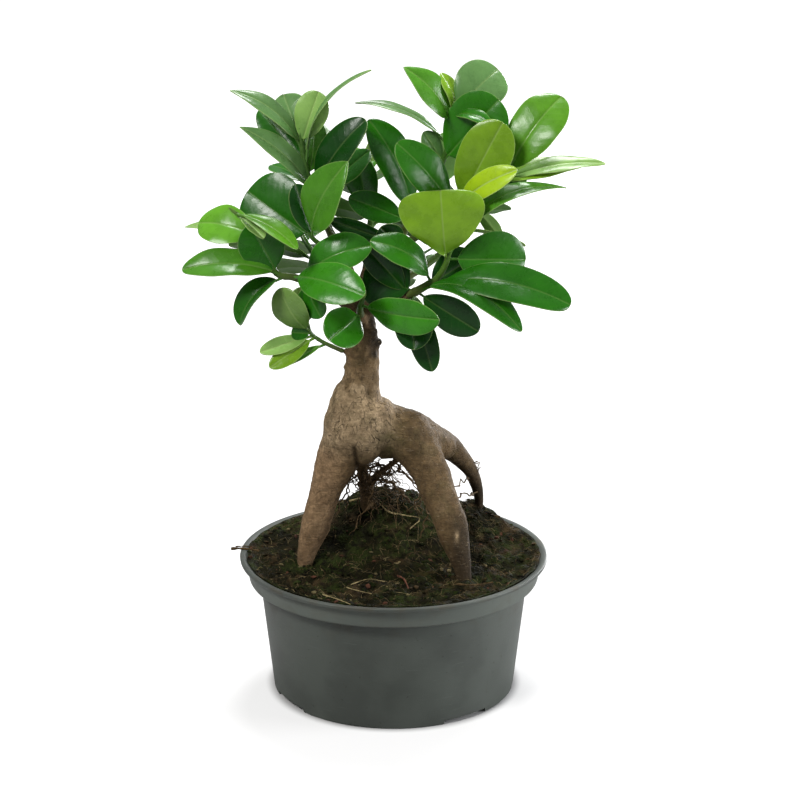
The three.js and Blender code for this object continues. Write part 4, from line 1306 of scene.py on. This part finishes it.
class FICUS_OT_soil(bpy.types.Operator):
    """Build the soil that fills the pot"""

    bl_idname = "ficus.soil"
    bl_label = "Soil"

    def execute(self, context):
        sizes, colours = context.scene.bonsai_sizes, context.scene.bonsai_colours
        relief = sizes.soil_relief / MM
        turns = [2 * math.pi * k / SOIL_SIDES for k in range(SOIL_SIDES)]
        points = [(0, 0, soil_top(0, 0, relief))]
        for ring in range(1, SOIL_RINGS + 1):
            for turn in turns:
                ragged = noise.noise((9 * math.cos(turn), 9 * math.sin(turn), 4.2))
                radius = (SOIL_REACH + SOIL_RAGGEDNESS * ragged) * ring / SOIL_RINGS
                x, y = radius * math.cos(turn), radius * math.sin(turn)
                points.append((x, y, soil_top(x, y, relief)))
        for radius, height in SOIL_WALL:
            points.extend((radius * math.cos(turn), radius * math.sin(turn), height) for turn in turns)
        points.append((0, 0, SOIL_WALL[-1][1]))
        faces = []
        last = SOIL_RINGS + len(SOIL_WALL) - 1
        for k in range(SOIL_SIDES):
            j = (k + 1) % SOIL_SIDES
            faces.append((0, 1 + k, 1 + j))
            for ring in range(last):
                a, b = 1 + ring * SOIL_SIDES + k, 1 + ring * SOIL_SIDES + j
                faces.append((a, b, b + SOIL_SIDES, a + SOIL_SIDES))
            edge = 1 + last * SOIL_SIDES
            faces.append((len(points) - 1, edge + j, edge + k))
        form = Form("soil_body", tint=4)
        form.add(points, faces, tint=(*colours.peat, 0))
        settle(form.build(), shared_finish("moist_peat", peat_finish, colours), "peat", "soil")
        return {"FINISHED"}


class FICUS_OT_litter(bpy.types.Operator):
    """Scatter crumbs, fibres, husks and fine dead roots on the soil"""

    bl_idname = "ficus.litter"
    bl_label = "Soil litter"

    def execute(self, context):
        sizes, colours = context.scene.bonsai_sizes, context.scene.bonsai_colours
        relief = sizes.soil_relief / MM
        dice = random.Random(11)
        form = Form("soil_litter", tint=4)
        weights = [weight for _, _, weight in CRUMBS]
        for _ in range(sizes.crumbs):
            x, y = random_on_soil(dice)
            name, own, _ = dice.choices(CRUMBS, weights)[0]
            size = CRUMB_SIZE + CRUMB_GROWTH * dice.random() ** 3
            shade = dice.uniform(0.5, 1.15)
            tint = (*(c * shade for c in getattr(colours, name)), own)
            add_crumb(form, dice, x, y, size, relief, tint)
        for _ in range(sizes.fibres):
            x, y = random_on_soil(dice)
            shade = dice.uniform(0.10, 0.95) ** 1.8
            colour = [c * shade + h * (1 - shade) for c, h in zip(colours.straw, colours.husk)]
            add_fibre(form, dice, x, y, relief, (*colour, 1))
        for points, radius, name in LOOSE_BITS:
            centres = Path(points).samples(BIT_STEPS)
            knobs = 1 + 0.25 * np.sin(np.linspace(0, 14, BIT_STEPS))
            radii = radius * knobs * np.linspace(1, 0.6, BIT_STEPS)
            tint = [c * BIT_BRIGHTNESS for c in getattr(colours, name)]
            form.add(*tube(centres, radii, 7), tint=(*tint, 1))
        settle(form.build(), shared_finish("moist_peat", peat_finish, colours), "peat")
        return {"FINISHED"}


class FICUS_OT_trunk(bpy.types.Operator):
    """Build the trunk with its roots and woody branches as one skin of bark"""

    bl_idname = "ficus.trunk"
    bl_label = "Trunk and roots"

    def execute(self, context):
        sizes, colours = context.scene.bonsai_sizes, context.scene.bonsai_colours
        form = Form("trunk_core")
        centres, radii = limb_samples()
        for line, thick in zip(centres, radii):
            form.add(*tube(line, thick, STOUT_SIDES if thick.max() > STOUT_LIMB else THIN_SIDES))
        core = form.build()
        skin = core.modifiers.new("skin", "REMESH")
        skin.mode = "VOXEL"
        skin.voxel_size = sizes.bark_grain * 1
        soften = core.modifiers.new("soften", "SMOOTH")
        soften.factor = 0.5
        soften.iterations = SKIN_SOFTENING
        mesh = applied(core, "trunk_bark")
        count = len(mesh.vertices)
        points = np.empty(count * 3)
        normals = np.empty(count * 3)
        mesh.vertices.foreach_get("co", points)
        points = points.reshape(-1, 3) / MM
        girth = nearest_girth(points, np.concatenate(centres), np.concatenate(radii))
        stout = smooth_step(girth, 0.35, 0.8)
        for rounds, back, band in EASING:
            weights = stout
            if band:
                level, spread = band
                weights = stout * np.exp(-(((points[:, 2] - level) / spread) ** 2))
            points = eased(points, mesh, weights, rounds, back)
        mesh.vertices.foreach_set("co", (points * MM).ravel())
        mesh.update()
        mesh.vertices.foreach_get("normal", normals)
        normals = normals.reshape(-1, 3)
        relief = sizes.bark_relief / MM
        heights = np.array([bark_height(p, g) for p, g in zip(points, girth)])
        lift = relief * heights + BARK_LIFT - FOLD_DEPTH * crease(points)
        moved = points + normals * lift[:, None]
        mesh.vertices.foreach_set("co", (moved * MM).ravel())
        tints, zones = bark_tints(points, normals, colours)
        add_layer(mesh, "tint", tints)
        add_layer(mesh, "zones", zones)
        tidy(mesh, 80)
        settle(show(mesh), shared_finish("fig_bark", bark_finish, colours), "bark", "trunk")
        return {"FINISHED"}


def eased(points, mesh, weights, rounds, back):
    """The points after rounds of two smoothing steps each, the second one by back, which keeps the
    volume where it is negative. Each point moves by its weight."""
    ends = np.empty(len(mesh.edges) * 2, int)
    mesh.edges.foreach_get("vertices", ends)
    start, end = ends.reshape(-1, 2).T
    count = len(points)
    shared = np.maximum(np.bincount(start, minlength=count) + np.bincount(end, minlength=count), 1)
    for turn in range(2 * rounds):
        total = np.stack([
            np.bincount(start, points[end, k], count) + np.bincount(end, points[start, k], count)
            for k in range(3)
        ], axis=1)
        pull = FIRST_STEP if turn % 2 == 0 else back
        points = points + pull * weights[:, None] * (total / shared[:, None] - points)
    return points


def nearest_girth(points, centres, radii):
    """How stout the nearest limb is, from about 0.2 on a thin branch to 1 on the body."""
    girth = np.empty(len(points))
    for start in range(0, len(points), 4000):
        part = points[start:start + 4000]
        gap = np.linalg.norm(part[:, None, :] - centres[None], axis=2) - radii[None]
        girth[start:start + 4000] = radii[gap.argmin(axis=1)]
    return np.clip(girth / 8, 0.2, 1.0)


class FICUS_OT_fine_roots(bpy.types.Operator):
    """Build the tangle of fine roots between the root legs"""

    bl_idname = "ficus.fine_roots"
    bl_label = "Fine roots"

    def execute(self, context):
        sizes, colours = context.scene.bonsai_sizes, context.scene.bonsai_colours
        form = Form("fine_roots", tint=4, zones=3)
        dark = np.array(colours.bark_dark)
        tan = np.array(colours.bark_tan)
        dice = random.Random(5)
        for points, radius in ROOT_THREADS:
            line = Path(points).samples(THREAD_STEPS)
            self.add_root(form, dice, line, radius, 0.35 * tan + 0.65 * dark)
        for number in range(sizes.root_hairs):
            if number % 4 == 1:
                start = np.array([dice.uniform(*span) for span in HANGING_BOX])
                end_x, end_y = start[0] + dice.gauss(0, 9), start[1] + dice.uniform(-4, 9)
                end = np.array((end_x, end_y, float(soil_height(end_x, end_y)) - 0.5))
            else:
                start = np.array([dice.uniform(*span) for span in CROSSING_BOX])
                end = start + np.array((dice.uniform(7, 22), dice.uniform(-5, 5), dice.gauss(-2, 6)))
            bend = (start + end) / 2 + np.array((dice.gauss(0, 5), dice.gauss(0, 4), dice.gauss(0, 4)))
            line = Path([start, bend, end]).samples(THREAD_STEPS)
            shade = 0.6 * dice.random() ** 2
            self.add_root(form, dice, line, dice.uniform(*HAIR_RADIUS), tan * shade + dark * (1 - shade))
        settle(form.build(), shared_finish("fig_bark", bark_finish, colours), "bark")
        return {"FINISHED"}

    def add_root(self, form, dice, line, radius, tint):
        """One thread along a line, which it leaves a little between its two ends."""
        shift = dice.uniform(0, 100)
        wander = np.array([
            [noise.noise((shift + axis * 7, k * 0.42, 0.3)) for axis in range(3)] for k in range(len(line))
        ])
        ends = np.sin(np.linspace(0, math.pi, len(line)))[:, None] ** 0.5
        radii = radius * (1 + 0.3 * wander[:, 0])
        thread = tube(line + wander * ends * THREAD_WANDER, radii, THREAD_SIDES)
        form.add(*thread, tint=(*tint, 1), zones=(0.2, 0.3, 0))


class FICUS_OT_shoots(bpy.types.Operator):
    """Build each leafy shoot: its green twig, petioles, blades and end bud"""

    bl_idname = "ficus.shoots"
    bl_label = "Leafy shoots"

    def execute(self, context):
        sizes, colours = context.scene.bonsai_sizes, context.scene.bonsai_colours
        material = leaf_finish(colours)
        thickness = sizes.blade_thickness / MM
        dice = random.Random(3)
        for number, (name, shoot) in enumerate(SHOOTS.items()):
            form = Form(name.replace("shoot", "leaves"), tint=4, blade=3, growth=3)
            path, split = shoot_path(shoot)
            for row in shoot["leaves"]:
                named = row[-1] in BASE_AND_TIP_TAPER
                place, *shape, tone, outline = row if named else (*row, "oval")
                base = path.at(split + (1 - split) * place)
                shade = dice.uniform(0.88, 1.12)
                tint = [c * shade for c in getattr(colours, tone)]
                youth = min(1.0, 3.2 * tint[0])
                seed = dice.randrange(1, 900)
                add_leaf(form, base, (*shape, outline), shoot["faces"], thickness, tint, seed, youth)
            tint = getattr(colours, shoot["leaves"][0][6])
            add_twig(form, path, split, shoot["radii"][1:], tint, number)
            settle(form.build(60), material, "leaf", name)
        return {"FINISHED"}


class FICUS_OT_stage(bpy.types.Operator):
    """Build the pale floor, the soft light and the camera"""

    bl_idname = "ficus.stage"
    bl_label = "Stage"

    def execute(self, context):
        scene = context.scene
        form = Form("floor")
        half = FLOOR_HALF
        form.add([(-half, -half, 0), (half, -half, 0), (half, half, 0), (-half, half, 0)], [(0, 1, 2, 3)])
        floor = form.build()
        floor.location.z = -FLOOR_DROP
        floor.data.materials.append(floor_finish())
        scene.world = self.studio_world()
        for name, lamp in LAMPS.items():
            self.add_lamp(name, *lamp)
        scene.view_settings.view_transform = "Standard"
        camera = bpy.data.cameras.new("camera")
        camera.lens = LENS
        camera.sensor_width = SENSOR
        camera.clip_end = CAMERA_REACH
        eye = bpy.data.objects.new("camera", camera)
        eye.location = CAMERA_PLACE
        eye.rotation_euler = (math.radians(CAMERA_TILT), 0, 0)
        scene.collection.objects.link(eye)
        scene.camera = eye
        return {"FINISHED"}

    def studio_world(self):
        """A white backdrop that throws only a soft grey light on the plant."""
        world = bpy.data.worlds.new("studio")
        world.use_nodes = True
        nodes, links = world.node_tree.nodes, world.node_tree.links
        soft = nodes["Background"]
        soft.inputs["Color"].default_value = WORLD_LIGHT
        soft.inputs["Strength"].default_value = WORLD_STRENGTH
        backdrop = nodes.new("ShaderNodeBackground")
        backdrop.inputs["Color"].default_value = grey(1)
        seen = nodes.new("ShaderNodeLightPath")
        either = nodes.new("ShaderNodeMixShader")
        links.new(seen.outputs["Is Camera Ray"], either.inputs[0])
        links.new(soft.outputs[0], either.inputs[1])
        links.new(backdrop.outputs[0], either.inputs[2])
        links.new(either.outputs[0], nodes["World Output"].inputs["Surface"])
        return world

    def add_lamp(self, name, place, size, power, colour):
        lamp = bpy.data.lights.new(name, "AREA")
        lamp.shape = "DISK"
        lamp.size = size
        lamp.energy = power
        lamp.color = colour
        holder = bpy.data.objects.new(name, lamp)
        holder.location = place
        aim = Vector(LAMP_AIM) - Vector(place)
        holder.rotation_euler = aim.to_track_quat("-Z", "Y").to_euler()
        bpy.context.scene.collection.objects.link(holder)


def shared_finish(name, make, colours):
    """The material of that name, made the first time that it is asked for."""
    return bpy.data.materials.get(name) or make(colours)


class FICUS_PT_panel(bpy.types.Panel):
    """Sizes, colours and building steps of the bonsai"""

    bl_idname = "FICUS_PT_panel"
    bl_label = "Ficus bonsai"
    bl_space_type = "VIEW_3D"
    bl_region_type = "UI"
    bl_category = "Bonsai"

    def draw(self, context):
        layout = self.layout
        for group in (context.scene.bonsai_sizes, context.scene.bonsai_colours):
            column = layout.column()
            for name in group.__annotations__:
                column.prop(group, name)
        for operator in OPERATORS:
            layout.operator(operator.bl_idname)


OPERATORS = (
    FICUS_OT_pot, FICUS_OT_soil, FICUS_OT_litter, FICUS_OT_trunk, FICUS_OT_fine_roots, FICUS_OT_shoots,
    FICUS_OT_stage,
)
CLASSES = (BonsaiSizes, BonsaiColours, *OPERATORS, FICUS_PT_panel)


def register():
    for cls in CLASSES:
        bpy.utils.register_class(cls)
    bpy.types.Scene.bonsai_sizes = PointerProperty(type=BonsaiSizes)
    bpy.types.Scene.bonsai_colours = PointerProperty(type=BonsaiColours)


def unregister():
    del bpy.types.Scene.bonsai_colours
    del bpy.types.Scene.bonsai_sizes
    for cls in reversed(CLASSES):
        bpy.utils.unregister_class(cls)


def main():
    register()
    for step in OPERATORS:
        group, name = step.bl_idname.split(".")
        getattr(getattr(bpy.ops, group), name)()


if __name__ == "__main__":
    main()
